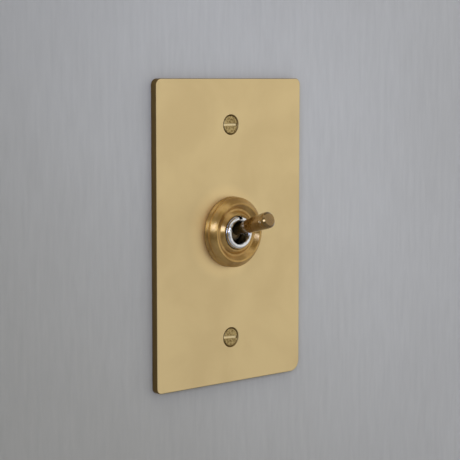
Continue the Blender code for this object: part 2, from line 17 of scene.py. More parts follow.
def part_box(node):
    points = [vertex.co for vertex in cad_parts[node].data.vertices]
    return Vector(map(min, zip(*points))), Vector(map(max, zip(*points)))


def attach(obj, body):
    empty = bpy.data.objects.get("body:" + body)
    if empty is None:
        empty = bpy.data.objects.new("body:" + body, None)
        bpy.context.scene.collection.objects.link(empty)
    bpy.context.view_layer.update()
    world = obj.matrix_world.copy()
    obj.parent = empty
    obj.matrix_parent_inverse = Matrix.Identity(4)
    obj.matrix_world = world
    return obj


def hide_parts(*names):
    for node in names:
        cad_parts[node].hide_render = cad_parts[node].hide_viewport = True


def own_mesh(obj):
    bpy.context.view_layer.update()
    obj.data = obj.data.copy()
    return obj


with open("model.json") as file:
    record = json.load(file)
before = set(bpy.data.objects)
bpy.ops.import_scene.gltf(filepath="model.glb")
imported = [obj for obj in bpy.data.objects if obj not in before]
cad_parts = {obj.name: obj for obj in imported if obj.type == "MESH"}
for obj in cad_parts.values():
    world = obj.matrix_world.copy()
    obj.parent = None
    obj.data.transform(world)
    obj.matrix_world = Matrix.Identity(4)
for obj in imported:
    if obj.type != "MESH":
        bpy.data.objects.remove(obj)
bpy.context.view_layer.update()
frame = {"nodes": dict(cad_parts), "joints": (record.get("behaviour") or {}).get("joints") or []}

MM = 0.001
joints = {joint["name"]: joint for joint in frame["joints"]}

# %% [markdown]
# ## Measures taken from the frame
# The frame says where each solid is, so sizes are read from it and not typed twice. The plate's front plane,
# the lever's pivot and the heights of the two fixing screws place nearly everything that shows.

# %% Measures from the frame
plate_low, plate_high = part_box("face_plate")
PLATE_WIDTH = plate_high.x - plate_low.x
PLATE_HEIGHT = plate_high.z - plate_low.z
PLATE_THICK = plate_high.y - plate_low.y
PIVOT = Vector(joints["toggle"]["pos_m"])
SLIDE = Vector(joints["plunger_slide"]["axis"])
LEVER_TILT = math.atan2(SLIDE.z, -SLIDE.y)
OUT_OF_WALL = (math.pi / 2, 0.0, 0.0)
INTO_WALL = (-math.pi / 2, 0.0, 0.0)
ALONG_LEVER = (math.pi / 2 - LEVER_TILT, 0.0, 0.0)
ON_EDGE = (math.pi / 2, 0.0, math.pi / 2)


def middle(node):
    low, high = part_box(node)
    return (low + high) / 2


SCREW_HEIGHTS = {side: middle("fixing_screw_" + side).z for side in ("top", "bottom")}
print("plate mm", [round(v / MM, 1) for v in (PLATE_WIDTH, PLATE_THICK, PLATE_HEIGHT)])
print("lever tilt", round(math.degrees(LEVER_TILT), 1), "degrees")

# %% [markdown]
# ## Small tools for making metal pieces
# A machinist turns, mills, bends and drills, and each helper below copies one of those. Points are joined by
# short fillets, because no real edge is perfectly sharp: a sharp mesh edge never catches a highlight.

# %% Fillets along an outline
def mm(points, base=0.0):
    """Points given in millimetres, with their heights above a base, and their fillets if they have any."""
    return [(x * MM, base + y * MM, *[v * MM for v in fillet]) for x, y, *fillet in points]


def soften(points, closed=False, steps=4):
    """Rounds each corner that is given a third value, its radius, with a short curve."""
    made = []
    count = len(points)
    for i, point in enumerate(points):
        corner = Vector(point[:2])
        radius = point[2] if len(point) > 2 else 0.0
        if radius == 0.0 or (not closed and i in (0, count - 1)):
            made.append(tuple(corner))
            continue
        before = Vector(points[i - 1][:2]) - corner
        after = Vector(points[(i + 1) % count][:2]) - corner
        half = before.angle(after) / 2
        reach = min(radius / math.tan(half), before.length * 0.49, after.length * 0.49)
        start = corner + before.normalized() * reach
        end = corner + after.normalized() * reach
        for k in range(steps + 1):
            t = k / steps
            made.append(tuple(start * (1 - t) ** 2 + corner * 2 * t * (1 - t) + end * t * t))
    return made


def rounded_box(left, right, first, second, radius, steps=4):
    """A rectangle between two places across and two heights, with four equal fillets."""
    return soften([(left, first, radius), (right, first, radius), (right, second, radius),
                   (left, second, radius)], closed=True, steps=steps)


def arc(radius, start, end, count):
    angles = [math.radians(start + (end - start) * i / (count - 1)) for i in range(count)]
    return [(radius * math.cos(a), radius * math.sin(a)) for a in angles]


# %% Meshes from a bmesh
SMOOTH_ANGLE = math.radians(32.0)
FLAT_ENOUGH = 0.99999


def link(name, data):
    piece = bpy.data.objects.new(name, data)
    bpy.context.scene.collection.objects.link(piece)
    return piece


def shaded(name, bm):
    """Makes the object. Faces square to an axis stay flat, and the rest are smooth up to the smooth angle."""
    bmesh.ops.remove_doubles(bm, verts=bm.verts, dist=0.0000005)
    bmesh.ops.recalc_face_normals(bm, faces=bm.faces)
    mesh = bpy.data.meshes.new(name)
    bm.to_mesh(mesh)
    bm.free()
    smooth_faces(mesh)
    return link(name, mesh)


def smooth_faces(mesh):
    mesh.shade_smooth()
    mesh.set_sharp_from_angle(angle=SMOOTH_ANGLE)
    for face in mesh.polygons:
        if max(abs(v) for v in face.normal) > FLAT_ENOUGH:
            face.use_smooth = False


# %% Lathe work
def lathe(name, profile, segments=96, shape=None):
    """Spins (radius, height) points about Z. A profile that starts off the axis closes into a ring.
    shape(radius, height, angle) may give each point a new radius, as a thread does. The UV map "turning" has
    its U across the tool marks, along the profile, and its V round the axis."""
    bm = bmesh.new()
    layer = bm.loops.layers.uv.new("turning")
    travel = [0.0]
    for first, second in zip(profile, profile[1:] + profile[:1]):
        travel.append(travel[-1] + math.dist(first, second) * 40.0)
    steps = [(i, i + 1) for i in range(len(profile) - 1)]
    if profile[0][0] > 0.0:
        steps.append((len(profile) - 1, 0))
    poles = {i: bm.verts.new((0.0, 0.0, point[1])) for i, point in enumerate(profile) if point[0] == 0.0}
    rings = []
    for k in range(segments):
        angle = math.tau * k / segments
        ring = []
        for i, (radius, height) in enumerate(profile):
            if i not in poles:
                reach = shape(radius, height, angle) if shape else radius
                spot = (reach * math.cos(angle), reach * math.sin(angle), height)
            ring.append(poles[i] if i in poles else bm.verts.new(spot))
        rings.append(ring)
    for k in range(segments):
        ring, following = rings[k], rings[(k + 1) % segments]
        for i, j in steps:
            around = {}
            for vert, point, turn in ((ring[i], i, k), (ring[j], j, k), (following[j], j, k + 1),
                                      (following[i], i, k + 1)):
                around.setdefault(vert, (point, turn))
            if len(around) < 3:
                continue
            face = bm.faces.new(list(around))
            for loop, (point, turn) in zip(face.loops, around.values()):
                along = travel[point] if point or i == 0 else travel[-1]
                loop[layer].uv = (along, turn / segments)
    return shaded(name, bm)


def thread_rows(radius, top, bottom, pitch, per_turn=8):
    """Closely spaced points down a threaded length."""
    count = max(2, round((top - bottom) / pitch * per_turn))
    return [(radius, top + (bottom - top) * i / count) for i in range(count + 1)]


def thread(radius, top, bottom, pitch, depth):
    """A helical V thread for lathe(): the radius falls from crest to root and runs out at both ends."""
    def shape(here, height, angle):
        if here < radius * 0.999 or not bottom <= height <= top:
            return here
        phase = (height / pitch - angle / math.tau) % 1.0
        groove = min(1.0, max(0.0, 1.25 - 2.7 * abs(phase - 0.5)))
        fade = min(1.0, (top - height) / pitch, (height - bottom) / pitch)
        return here - depth * groove * max(0.0, fade)
    return shape


# %% Sheet and block work
def extrude(name, outline, depth):
    """A closed outline in XY, given its thickness along Z, half to each side."""
    bm = bmesh.new()
    face = bm.faces.new([bm.verts.new((x, y, -depth / 2)) for x, y in outline])
    grown = bmesh.ops.extrude_face_region(bm, geom=[face])
    verts = [item for item in grown["geom"] if isinstance(item, bmesh.types.BMVert)]
    bmesh.ops.translate(bm, verts=verts, vec=(0, 0, depth))
    return shaded(name, bm)


def block(name, low, high):
    bm = bmesh.new()
    bmesh.ops.create_cube(bm, size=1.0)
    low, high = Vector(low), Vector(high)
    bmesh.ops.scale(bm, vec=high - low, verts=bm.verts)
    bmesh.ops.translate(bm, vec=(low + high) / 2, verts=bm.verts)
    return shaded(name, bm)


def place(piece, location=(0, 0, 0), rotation=(0, 0, 0)):
    """Puts a piece in place and bakes that into its mesh, so that all pieces share the frame's own axes."""
    turn = Matrix.Identity(4)
    for axis, angle in zip("XYZ", rotation):
        turn = Matrix.Rotation(angle, 4, axis) @ turn
    piece.data.transform(Matrix.Translation(Vector(location)) @ turn)
    return piece


def machine(piece, tool, operation="DIFFERENCE"):
    """Cuts a piece with a tool, or adds the tool to it, and throws the tool away."""
    modifier = piece.modifiers.new("machine", "BOOLEAN")
    modifier.operation = operation
    modifier.solver = "EXACT"
    modifier.object = tool
    settle(piece)
    bpy.data.objects.remove(tool, do_unlink=True)
    return piece


def settle(piece):
    """Applies a piece's modifiers."""
    depsgraph = bpy.context.evaluated_depsgraph_get()
    mesh = bpy.data.meshes.new_from_object(piece.evaluated_get(depsgraph))
    piece.modifiers.clear()
    piece.data = mesh
    mesh.name = piece.name
    smooth_faces(mesh)
    return piece


def break_edges(piece, width, segments=2):
    """Takes the sharpness off every edge that turns by more than 35 degrees, as tumbling or a file does."""
    bevel = piece.modifiers.new("break_edges", "BEVEL")
    bevel.width = width
    bevel.segments = segments
    bevel.limit_method = "ANGLE"
    bevel.angle_limit = math.radians(35.0)
    bevel.use_clamp_overlap = True
    return settle(piece)


def drill(piece, radius, centre, length=0.05, axis="Y"):
    """Drills a round hole through a piece."""
    turns = {"Y": OUT_OF_WALL, "X": (0.0, math.pi / 2, 0.0)}
    ends = [(0.0, length / 2), (radius, length / 2), (radius, -length / 2), (0.0, -length / 2)]
    return machine(piece, place(lathe("drill", ends, 64), centre, turns[axis]))


# %% Handing a piece to the frame
finished = []


def hand_over(piece, material, node, body="switch"):
    """Gives a piece its material, its colour slot, its body and the node it stands for."""
    piece.data.materials.clear()
    piece.data.materials.append(material)
    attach(piece, body)
    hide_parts(node)
    finished.append(piece)
    return piece


# %% [markdown]
# ## Shared surface effects
# A maker's shop leaves the same few traces on every metal: slow clouds of tarnish, the fine scratches of a
# belt or a lathe, bright worn edges and dull crevices, whose darkening here is grime and painted shade. Each
# trace is one node group, with its own sizes as inputs, so that every material can use it at its own strength.

# %% Building node groups
def new_group(name, inputs, outputs):
    """A node group, with the sockets that it is given and the sockets that its results go to."""
    group = bpy.data.node_groups.new(name, "ShaderNodeTree")
    for label, kind, value in inputs:
        socket = group.interface.new_socket(name=label, in_out="INPUT", socket_type="NodeSocket" + kind)
        socket.default_value = value
    for label, kind in outputs:
        group.interface.new_socket(name=label, in_out="OUTPUT", socket_type="NodeSocket" + kind)
    return group, group.nodes.new("NodeGroupInput").outputs, group.nodes.new("NodeGroupOutput").inputs


def add(tree, kind, inputs=None, out=None, **settings):
    """Adds a node with its settings, and with inputs given as values or as sockets to link. It returns the
    named output, or else the first one that the settings leave in use."""
    made = tree.nodes.new("ShaderNode" + kind)
    for key, value in settings.items():
        setattr(made, key, value)
    for key, value in (inputs or {}).items():
        if isinstance(value, bpy.types.NodeSocket):
            tree.links.new(value, made.inputs[key])
        else:
            made.inputs[key].default_value = value
    return made.outputs[out] if out else next(socket for socket in made.outputs if socket.enabled)


# %% Clouds of tone
cloud_group, given, result = new_group(
    "cloud_tone",
    [("Bright", "Color", (1, 1, 1, 1)), ("Dark", "Color", (0.5, 0.5, 0.5, 1)), ("Size", "Float", 60.0),
     ("Low", "Float", 0.35), ("High", "Float", 0.65)],
    [("Color", "Color"), ("Mask", "Float")],
)
spot = add(cloud_group, "TexCoord", out="Object")
cloud = add(cloud_group, "TexNoise", {"Vector": spot, "Scale": given["Size"], "Detail": 5.0,
                                      "Roughness": 0.55, "Distortion": 0.3})
level = add(cloud_group, "MapRange", {"Value": cloud, "From Min": given["Low"], "From Max": given["High"]},
            interpolation_type="SMOOTHSTEP")
tone = add(cloud_group, "Mix", {"Factor": level, 6: given["Bright"], 7: given["Dark"]}, data_type="RGBA")
cloud_group.links.new(tone, result["Color"])
cloud_group.links.new(level, result["Mask"])

# %% [markdown]
# Brushing and linishing leave scratches that are long one way and very short the other. A noise texture
# squeezed along one axis does the same, and equal squeezing on all three axes turns it into sandblasting or
# plaster.

# %% Directional grain
grain_group, given, result = new_group(
    "directional_grain",
    [("Stretch", "Vector", (1.0, 1.0, 1.0)), ("Scale", "Float", 1500.0), ("Detail", "Float", 3.0)],
    [("Height", "Float")],
)
spot = add(grain_group, "TexCoord", out="Object")
squeezed = add(grain_group, "VectorMath", {0: spot, 1: given["Stretch"]}, operation="MULTIPLY")
scratches = add(grain_group, "TexNoise", {"Vector": squeezed, "Scale": given["Scale"],
                                          "Detail": given["Detail"], "Roughness": 0.65})
grain_group.links.new(scratches, result["Height"])

# %% [markdown]
# A lathe tool leaves rings. The distance from the piece's own axis decides the height of the surface, so the
# group reads only that distance and the place along the axis, and the marks run round every turned piece
# like a record.

# %% Turning marks
turning_group, given, result = new_group(
    "turning_marks",
    [("Axis Point", "Vector", (0, 0, 0)), ("Axis", "Vector", (0, -1, 0)), ("Scale", "Float", 4000.0)],
    [("Height", "Float")],
)
spot = add(turning_group, "TexCoord", out="Object")
offset = add(turning_group, "VectorMath", {0: spot, 1: given["Axis Point"]}, operation="SUBTRACT")
along = add(turning_group, "VectorMath", {0: offset, 1: given["Axis"]}, operation="DOT_PRODUCT")
foot = add(turning_group, "VectorMath", {0: given["Axis"], "Scale": along}, operation="SCALE")
radial = add(turning_group, "VectorMath", {0: offset, 1: foot}, operation="SUBTRACT")
radius = add(turning_group, "VectorMath", {0: radial}, operation="LENGTH")
track = add(turning_group, "CombineXYZ", {"X": radius, "Y": along})
rings = add(turning_group, "TexNoise", {"Vector": track, "Scale": given["Scale"], "Detail": 2.0,
                                        "Roughness": 0.6})
turning_group.links.new(rings, result["Height"])

# %% [markdown]
# Hands and cloths polish the edges that stick out. The Bevel node gives the normal of a slightly rounded
# copy of the surface, and where that differs from the true normal there is an edge. Some noise breaks the
# line up.

# %% Worn edges
wear_group, given, result = new_group(
    "edge_wear",
    [("Width", "Float", 0.0002), ("Breakup", "Float", 900.0), ("Strength", "Float", 1.0)],
    [("Mask", "Float")],
)
rounded = add(wear_group, "Bevel", {"Radius": given["Width"]}, samples=4)
true_normal = add(wear_group, "NewGeometry", out="Normal")
match = add(wear_group, "VectorMath", {0: rounded, 1: true_normal}, operation="DOT_PRODUCT")
edge = add(wear_group, "MapRange", {"Value": match, "From Min": 0.985, "From Max": 0.86})
spot = add(wear_group, "TexCoord", out="Object")
patches = add(wear_group, "TexNoise", {"Vector": spot, "Scale": given["Breakup"], "Detail": 3.0})
uneven = add(wear_group, "MapRange", {"Value": patches, "From Min": 0.3, "From Max": 0.6})
broken = add(wear_group, "Math", {0: edge, 1: uneven}, operation="MULTIPLY")
scaled = add(wear_group, "Math", {0: broken, 1: given["Strength"]}, operation="MULTIPLY", use_clamp=True)
wear_group.links.new(scaled, result["Mask"])

# %% [markdown]
# Polish and grease stay in corners, and shade falls there too. Ambient occlusion over a very short reach finds
# them, and gives a mask that darkens a groove, a slot or the foot of a boss: grime and painted shade in one.

# %% Crevices with grime and painted shade
crevice_shade_group, given, result = new_group(
    "crevice_grime_and_shade",
    [("Reach", "Float", 0.0008), ("Strength", "Float", 1.0)],
    [("Mask", "Float")],
)
# Painted shade: the mask darkens every hollow that ambient occlusion finds, as well as standing for grime.
nearby = add(crevice_shade_group, "AmbientOcclusion", {"Distance": given["Reach"]}, out="AO", samples=6)
closed_in = add(crevice_shade_group, "MapRange", {"Value": nearby, "From Min": 0.85, "From Max": 0.35})
grime_and_shade = add(crevice_shade_group, "Math", {0: closed_in, 1: given["Strength"]}, operation="MULTIPLY", use_clamp=True)
crevice_shade_group.links.new(grime_and_shade, result["Mask"])
print("node groups", [group.name for group in bpy.data.node_groups])

# %% [markdown]
# ## Materials
# Every metal here is built the same way: a cloudy base colour, grime and painted shade in the crevices, bright
# worn edges, a roughness that drifts with the clouds, and one kind of tool mark as a bump. The numbers make the
# difference between a lacquered plate, a turned nut and a lever that has been in many hands.

# %% One recipe for worked surfaces
def use_group(tree, group, inputs):
    made = tree.nodes.new("ShaderNodeGroup")
    made.node_tree = group
    for key, value in inputs.items():
        made.inputs[key].default_value = value
    return made.outputs


def blend_colour(tree, factor, first, second):
    """A colour mix whose two ends are sockets or colours."""
    ends = [end if isinstance(end, bpy.types.NodeSocket) else (*end, 1.0) for end in (first, second)]
    return add(tree, "Mix", {"Factor": factor, 6: ends[0], 7: ends[1]}, data_type="RGBA")


def worked_surface(name, bright, dark, metallic=1.0, roughness=(0.25, 0.35), cloud_size=70.0, grain=None,
                   grain_depth=0.000004, turning=None, worn=None, wear=(0.0002, 900.0, 0.6), grime_and_shade=None,
                   grime_and_shade_reach=0.0008, grime_and_shade_strength=0.8, anisotropic=0.0, coat=(0.0, 0.12)):
    """bright and dark are the ends of the cloudy base colour, worn is the colour of rubbed edges, and the
    crevice colour is grime and painted shade in the hollows that ambient occlusion finds. grain is (stretch,
    scale), turning is (point, axis, scale), wear is (width, breakup, strength) and coat is (weight, roughness)."""
    material = bpy.data.materials.new(name)
    material.use_nodes = True
    tree = material.node_tree
    shader = tree.nodes["Principled BSDF"].inputs
    shader["Metallic"].default_value = metallic
    shader["Anisotropic"].default_value = anisotropic
    shader["Coat Weight"].default_value = coat[0]
    shader["Coat Roughness"].default_value = coat[1]

    clouds = use_group(tree, cloud_group, {"Bright": (*bright, 1.0), "Dark": (*dark, 1.0),
                                           "Size": cloud_size})
    colour = clouds["Color"]
    rough = add(tree, "MapRange", {"Value": clouds["Mask"], "To Min": roughness[0], "To Max": roughness[1]})
    # The crevice mask is painted shade as well as grime: it darkens every hollow that ambient occlusion finds.
    crevices = (crevice_shade_group, {"Reach": grime_and_shade_reach, "Strength": grime_and_shade_strength}, grime_and_shade, 0.25)
    edges = (wear_group, {"Width": wear[0], "Breakup": wear[1], "Strength": wear[2]}, worn, -0.08)
    for group, sizes, shade, rougher in (crevices, edges):
        if shade is not None:
            mask = use_group(tree, group, sizes)["Mask"]
            colour = blend_colour(tree, mask, colour, shade)
            rough = add(tree, "Math", {0: mask, 1: rougher, 2: rough}, operation="MULTIPLY_ADD",
                        use_clamp=True)
    tree.links.new(colour, shader["Base Color"])
    tree.links.new(rough, shader["Roughness"])

    if anisotropic > 0.0:
        across = add(tree, "Tangent", direction_type="UV_MAP", uv_map="turning")
        tree.links.new(across, shader["Tangent"])
    if turning is not None:
        marks = use_group(tree, turning_group, {"Axis Point": turning[0], "Axis": turning[1],
                                                "Scale": turning[2]})
    else:
        marks = use_group(tree, grain_group, {"Stretch": grain[0], "Scale": grain[1]})
    bump = add(tree, "Bump", {"Height": marks["Height"], "Distance": grain_depth, "Strength": 1.0})
    tree.links.new(bump, shader["Normal"])
    return material


def tint_where(material, source, start, end, colour, stop=1.0):
    """Blends the base colour into another one as the Y of the surface's normal or place goes from start to
    end. Past the stop it goes back to its own colour."""
    tree = material.node_tree
    base = tree.nodes["Principled BSDF"].inputs["Base Color"]
    depth = add(tree, "SeparateXYZ", {"Vector": add(tree, "TexCoord", out=source)}, out="Y")
    amount = add(tree, "MapRange", {"Value": depth, "From Min": start, "From Max": end})
    ended = add(tree, "MapRange", {"Value": depth, "From Min": stop, "From Max": stop + 0.1, "To Min": 1.0,
                                   "To Max": 0.0})
    both = add(tree, "Math", {0: amount, 1: ended}, operation="MULTIPLY")
    tree.links.new(blend_colour(tree, both, base.links[0].from_socket, colour), base)


def paint_light_near(material, centre, inner, outer, gain):
    """Paints light into the base colour round a point of the XZ plane: brighter by the gain inside the inner
    radius and not at all past the outer one."""
    tree = material.node_tree
    base = tree.nodes["Principled BSDF"].inputs["Base Color"]
    flat = add(tree, "VectorMath", {0: add(tree, "TexCoord", out="Object"), 1: (1.0, 0.0, 1.0)},
               operation="MULTIPLY")
    gap = add(tree, "VectorMath", {0: flat, 1: centre}, operation="DISTANCE")
    lift = add(tree, "MapRange", {"Value": gap, "From Min": inner, "From Max": outer, "To Min": gain,
                                  "To Max": 1.0}, interpolation_type="SMOOTHSTEP")
    lit = add(tree, "VectorMath", {0: base.links[0].from_socket, "Scale": lift}, operation="SCALE")
    tree.links.new(lit, base)


# %% [markdown]
# Brass is copper and zinc, and more copper makes it redder. The plate is rolled sheet with a satin lacquered
# face, so it is pale and even, and its sawn sides are painted darker as shade. The rosette is turned bar,
# warmer and glossier, with rings that pull its highlights into spokes. The lever has lost its lacquer and
# darkened.

# %% The brasses
FORWARD = (0.0, -1.0, 0.0)
LEVER_AXIS = (0.0, -math.cos(LEVER_TILT), math.sin(LEVER_TILT))

plate_brass = worked_surface(
    "satin_plate_brass", (0.82, 0.637, 0.330), (0.79, 0.609, 0.315), roughness=(0.50, 0.56), cloud_size=34.0,
    grain=((1.0, 1.0, 0.06), 2600.0), grain_depth=0.000003,
    worn=(0.86, 0.68, 0.36), wear=(0.00025, 700.0, 0.5), grime_and_shade=(0.30, 0.18, 0.06), grime_and_shade_reach=0.0004,
)
# Painted shade: the plate's sides, and the outer facets of its arris, are painted dark brown.
tint_where(plate_brass, "Normal", -0.93, -0.75, (0.24, 0.155, 0.052), stop=0.8)
# Painted light: the plate is brightened round the rosette, against the shade that the rosette throws on it.
paint_light_near(plate_brass, (-3 * MM, 0.0, 0.0), 14 * MM, 20 * MM, 1.14)
rosette_brass = worked_surface(
    "turned_rosette_brass", (0.57, 0.345, 0.090), (0.43, 0.235, 0.048), roughness=(0.31, 0.37),
    cloud_size=160.0, turning=((0, 0, 0), FORWARD, 5200.0), grain_depth=0.000003, anisotropic=0.85,
    worn=(0.84, 0.66, 0.34), wear=(0.00012, 1200.0, 0.35), grime_and_shade=(0.22, 0.115, 0.03), grime_and_shade_reach=0.0009,
    grime_and_shade_strength=0.65, coat=(0.8, 0.16),
)
# The lever's crevice colour reaches 4 mm, so its painted shade spreads over the neck and the ball inside the
# bush.
lever_brass = worked_surface(
    "aged_lever_brass", (0.29, 0.170, 0.040), (0.22, 0.120, 0.024), roughness=(0.20, 0.28), cloud_size=260.0,
    turning=(tuple(PIVOT), LEVER_AXIS, 3600.0), grain_depth=0.000004, anisotropic=0.5,
    worn=(0.50, 0.35, 0.15), wear=(0.0003, 800.0, 0.7), grime_and_shade=(0.05, 0.04, 0.02), grime_and_shade_reach=0.004,
    coat=(1.0, 0.10),
)
screw_brass = worked_surface(
    "dull_screw_brass", (0.55, 0.41, 0.18), (0.26, 0.175, 0.06), roughness=(0.38, 0.55), cloud_size=1500.0,
    grain=((1.0, 1.0, 1.0), 2600.0), grain_depth=0.00004,
    worn=(0.70, 0.53, 0.25), wear=(0.0002, 900.0, 0.3), grime_and_shade=(0.10, 0.06, 0.02), grime_and_shade_strength=0.35,
)
SLOT_FLOOR = plate_low.y + 0.7 * MM
# Painted highlight: the floor and lower walls of each slot are painted pale brass.
tint_where(screw_brass, "Object", SLOT_FLOOR - 0.3 * MM, SLOT_FLOOR - 0.05 * MM, (0.92, 0.76, 0.44))
strip_brass = worked_surface(
    "terminal_strip_brass", (0.66, 0.50, 0.22), (0.52, 0.36, 0.14), roughness=(0.28, 0.42), cloud_size=260.0,
    grain=((1.0, 0.05, 1.0), 3200.0), grain_depth=0.000006,
    worn=(0.80, 0.64, 0.34), grime_and_shade=(0.16, 0.09, 0.03),
)

# %% [markdown]
# The plated and steel pieces are colder. Bright plate is almost a mirror, zinc has a bluish bloom, and
# spring steel keeps some of its dark temper colour.

# %% Plated metals and steels
bush_plate = worked_surface(
    "bright_bush_plating", (0.88, 0.875, 0.86), (0.74, 0.73, 0.70), roughness=(0.05, 0.12), cloud_size=500.0,
    grain=((1.0, 1.0, 1.0), 420.0), grain_depth=0.00022, worn=(0.92, 0.91, 0.89),
    grime_and_shade=(0.07, 0.07, 0.05), grime_and_shade_reach=0.0012, grime_and_shade_strength=0.4,
)
zinc_plate = worked_surface(
    "zinc_plated_steel", (0.60, 0.62, 0.64), (0.46, 0.48, 0.50), roughness=(0.28, 0.45), cloud_size=300.0,
    grain=((1.0, 1.0, 0.08), 2400.0), grain_depth=0.000008, worn=(0.72, 0.73, 0.74), grime_and_shade=(0.12, 0.11, 0.10),
)
spring_steel = worked_surface(
    "bright_spring_steel", (0.50, 0.50, 0.52), (0.32, 0.31, 0.31), roughness=(0.22, 0.34), cloud_size=600.0,
    grain=((1.0, 1.0, 1.0), 4200.0), grain_depth=0.000006, worn=(0.66, 0.66, 0.67), grime_and_shade=(0.08, 0.07, 0.06),
)
green_zinc = worked_surface(
    "green_passivated_steel", (0.06, 0.30, 0.11), (0.03, 0.19, 0.07), roughness=(0.26, 0.38),
    cloud_size=500.0, grain=((1.0, 1.0, 1.0), 3000.0), grain_depth=0.00001,
    worn=(0.34, 0.52, 0.36), grime_and_shade=(0.02, 0.06, 0.03),
)
rocker_copper = worked_surface(
    "formed_copper", (0.78, 0.40, 0.25), (0.52, 0.23, 0.13), roughness=(0.26, 0.40), cloud_size=400.0,
    grain=((0.06, 1.0, 1.0), 3200.0), grain_depth=0.000006, worn=(0.88, 0.52, 0.36), grime_and_shade=(0.18, 0.08, 0.05),
)
contact_silver = worked_surface(
    "contact_silver", (0.84, 0.83, 0.80), (0.60, 0.58, 0.53), roughness=(0.22, 0.36), cloud_size=900.0,
    grain=((1.0, 1.0, 1.0), 3600.0), grain_depth=0.000008, worn=(0.92, 0.91, 0.89), grime_and_shade=(0.14, 0.12, 0.10),
)

# %% [markdown]
# The insulating pieces are moulded or punched. Phenolic takes a fine sparkle of wood flour from the mould,
# fibre sheet is matt and slightly hairy, and nylon is milky and smooth.

# %% Insulating materials
body_phenolic = worked_surface(
    "black_phenolic", (0.030, 0.027, 0.025), (0.016, 0.014, 0.013), metallic=0.0, roughness=(0.34, 0.50),
    cloud_size=380.0, grain=((1.0, 1.0, 1.0), 2200.0), grain_depth=0.00002,
    worn=(0.09, 0.08, 0.075), grime_and_shade=(0.05, 0.045, 0.04),
)
base_phenolic = worked_surface(
    "brown_phenolic", (0.115, 0.050, 0.026), (0.062, 0.026, 0.014), metallic=0.0, roughness=(0.34, 0.50),
    cloud_size=520.0, grain=((1.0, 1.0, 1.0), 2000.0), grain_depth=0.00002,
    worn=(0.20, 0.10, 0.06), grime_and_shade=(0.03, 0.016, 0.01),
)
red_fibre = worked_surface(
    "red_fibre_sheet", (0.36, 0.075, 0.045), (0.22, 0.045, 0.03), metallic=0.0, roughness=(0.60, 0.78),
    cloud_size=700.0, grain=((1.0, 0.2, 1.0), 2600.0), grain_depth=0.00003,
    worn=(0.48, 0.16, 0.11), grime_and_shade=(0.12, 0.03, 0.02),
)
white_nylon = worked_surface(
    "milky_nylon", (0.78, 0.76, 0.70), (0.66, 0.63, 0.56), metallic=0.0, roughness=(0.36, 0.48),
    cloud_size=500.0, grain=((1.0, 1.0, 1.0), 1800.0), grain_depth=0.00001,
    worn=(0.86, 0.84, 0.80), grime_and_shade=(0.40, 0.37, 0.31),
)
print("materials", len(bpy.data.materials))

# %% [markdown]
# ## The face plate
# The plate is cut from solid sheet, its corners rounded and its front arris just broken with a fine file.
# Two countersinks and the bush hole go through it, and its back is relieved so that only a rim bears on the
# wall. Cutting a bevelled block with turned tools copies the real order of work and keeps the big face flat.

# %% Face plate
CORNER_RADII = {(-1, 1): 2.6 * MM, (1, 1): 2.3 * MM, (-1, -1): 2.1 * MM, (1, -1): 4.6 * MM}
BUSH_HOLE = 6.6 * MM
COUNTERSINK = 4.0 * MM
SCREW_HOLE = 2.15 * MM
RIM_WIDTH = 4.0 * MM
RELIEF_DEPTH = 0.8 * MM


def countersink_tool():
    """A cone with a tiny flare where it leaves the plate's face."""
    front = PLATE_THICK
    cone = front - (COUNTERSINK - SCREW_HOLE)
    profile = [
        (0.0, front + MM), (COUNTERSINK + 0.10 * MM, front + MM), (COUNTERSINK + 0.10 * MM, front),
        (COUNTERSINK + 0.02 * MM, front - 0.03 * MM), (COUNTERSINK - 0.06 * MM, front - 0.09 * MM),
        (SCREW_HOLE, cone), (SCREW_HOLE, -MM), (0.0, -MM),
    ]
    return lathe("countersink_tool", profile, 96)


def make_plate():
    bm = bmesh.new()
    bmesh.ops.create_cube(bm, size=1.0)
    bmesh.ops.scale(bm, vec=plate_high - plate_low, verts=bm.verts)
    bmesh.ops.translate(bm, vec=(plate_high + plate_low) / 2, verts=bm.verts)
    for (side, end), corner_radius in CORNER_RADII.items():
        spot = Vector((side * PLATE_WIDTH / 2, end * PLATE_HEIGHT / 2))
        upright = [e for e in bm.edges if all((v.co.xz - spot).length < 0.01 * MM for v in e.verts)]
        bmesh.ops.bevel(bm, geom=upright, offset=corner_radius, segments=14, profile=0.5, affect="EDGES")
    arris = [e for e in bm.edges if all(v.co.y < plate_low.y + 0.1 * MM for v in e.verts)]
    bmesh.ops.bevel(bm, geom=arris, offset=0.30 * MM, segments=4, profile=0.5, affect="EDGES")
    rim = [e for e in bm.edges if all(v.co.y > plate_high.y - 0.1 * MM for v in e.verts)]
    bmesh.ops.bevel(bm, geom=rim, offset=0.12 * MM, segments=1, profile=0.5, affect="EDGES")
    plate = shaded("brass_face_plate", bm)

    edge = Vector((RIM_WIDTH, 0.0, RIM_WIDTH))
    relief = block("relief_tool", plate_low + edge + Vector((0, PLATE_THICK - RELIEF_DEPTH, 0)),
                   plate_high - edge + Vector((0, MM, 0)))
    break_edges(relief, 0.5 * MM, 3)
    machine(plate, relief)
    drill(plate, BUSH_HOLE, (0, 0, 0))
    for height in SCREW_HEIGHTS.values():
        machine(plate, place(countersink_tool(), (0, 0, height), OUT_OF_WALL))
    return plate


plate = make_plate()
hand_over(plate, plate_brass, "face_plate")
print("plate faces", len(plate.data.polygons))

# %% [markdown]
# ## Fixing screws
# Countersunk brass machine screws, slotted by a saw. The thread is real geometry: each point on the shank is
# moved in by a V that climbs with the angle, which makes one continuous helix without any modifier stack. A
# nylon washer on each shank keeps the screw in the plate.

# %% Fixing screws and captive washers
HEAD_FRONT = PLATE_THICK - 0.1 * MM
SCREW_THREAD_PITCH = 0.79 * MM
SLOT_TURN = {"top": 0.0, "bottom": math.radians(3.0)}


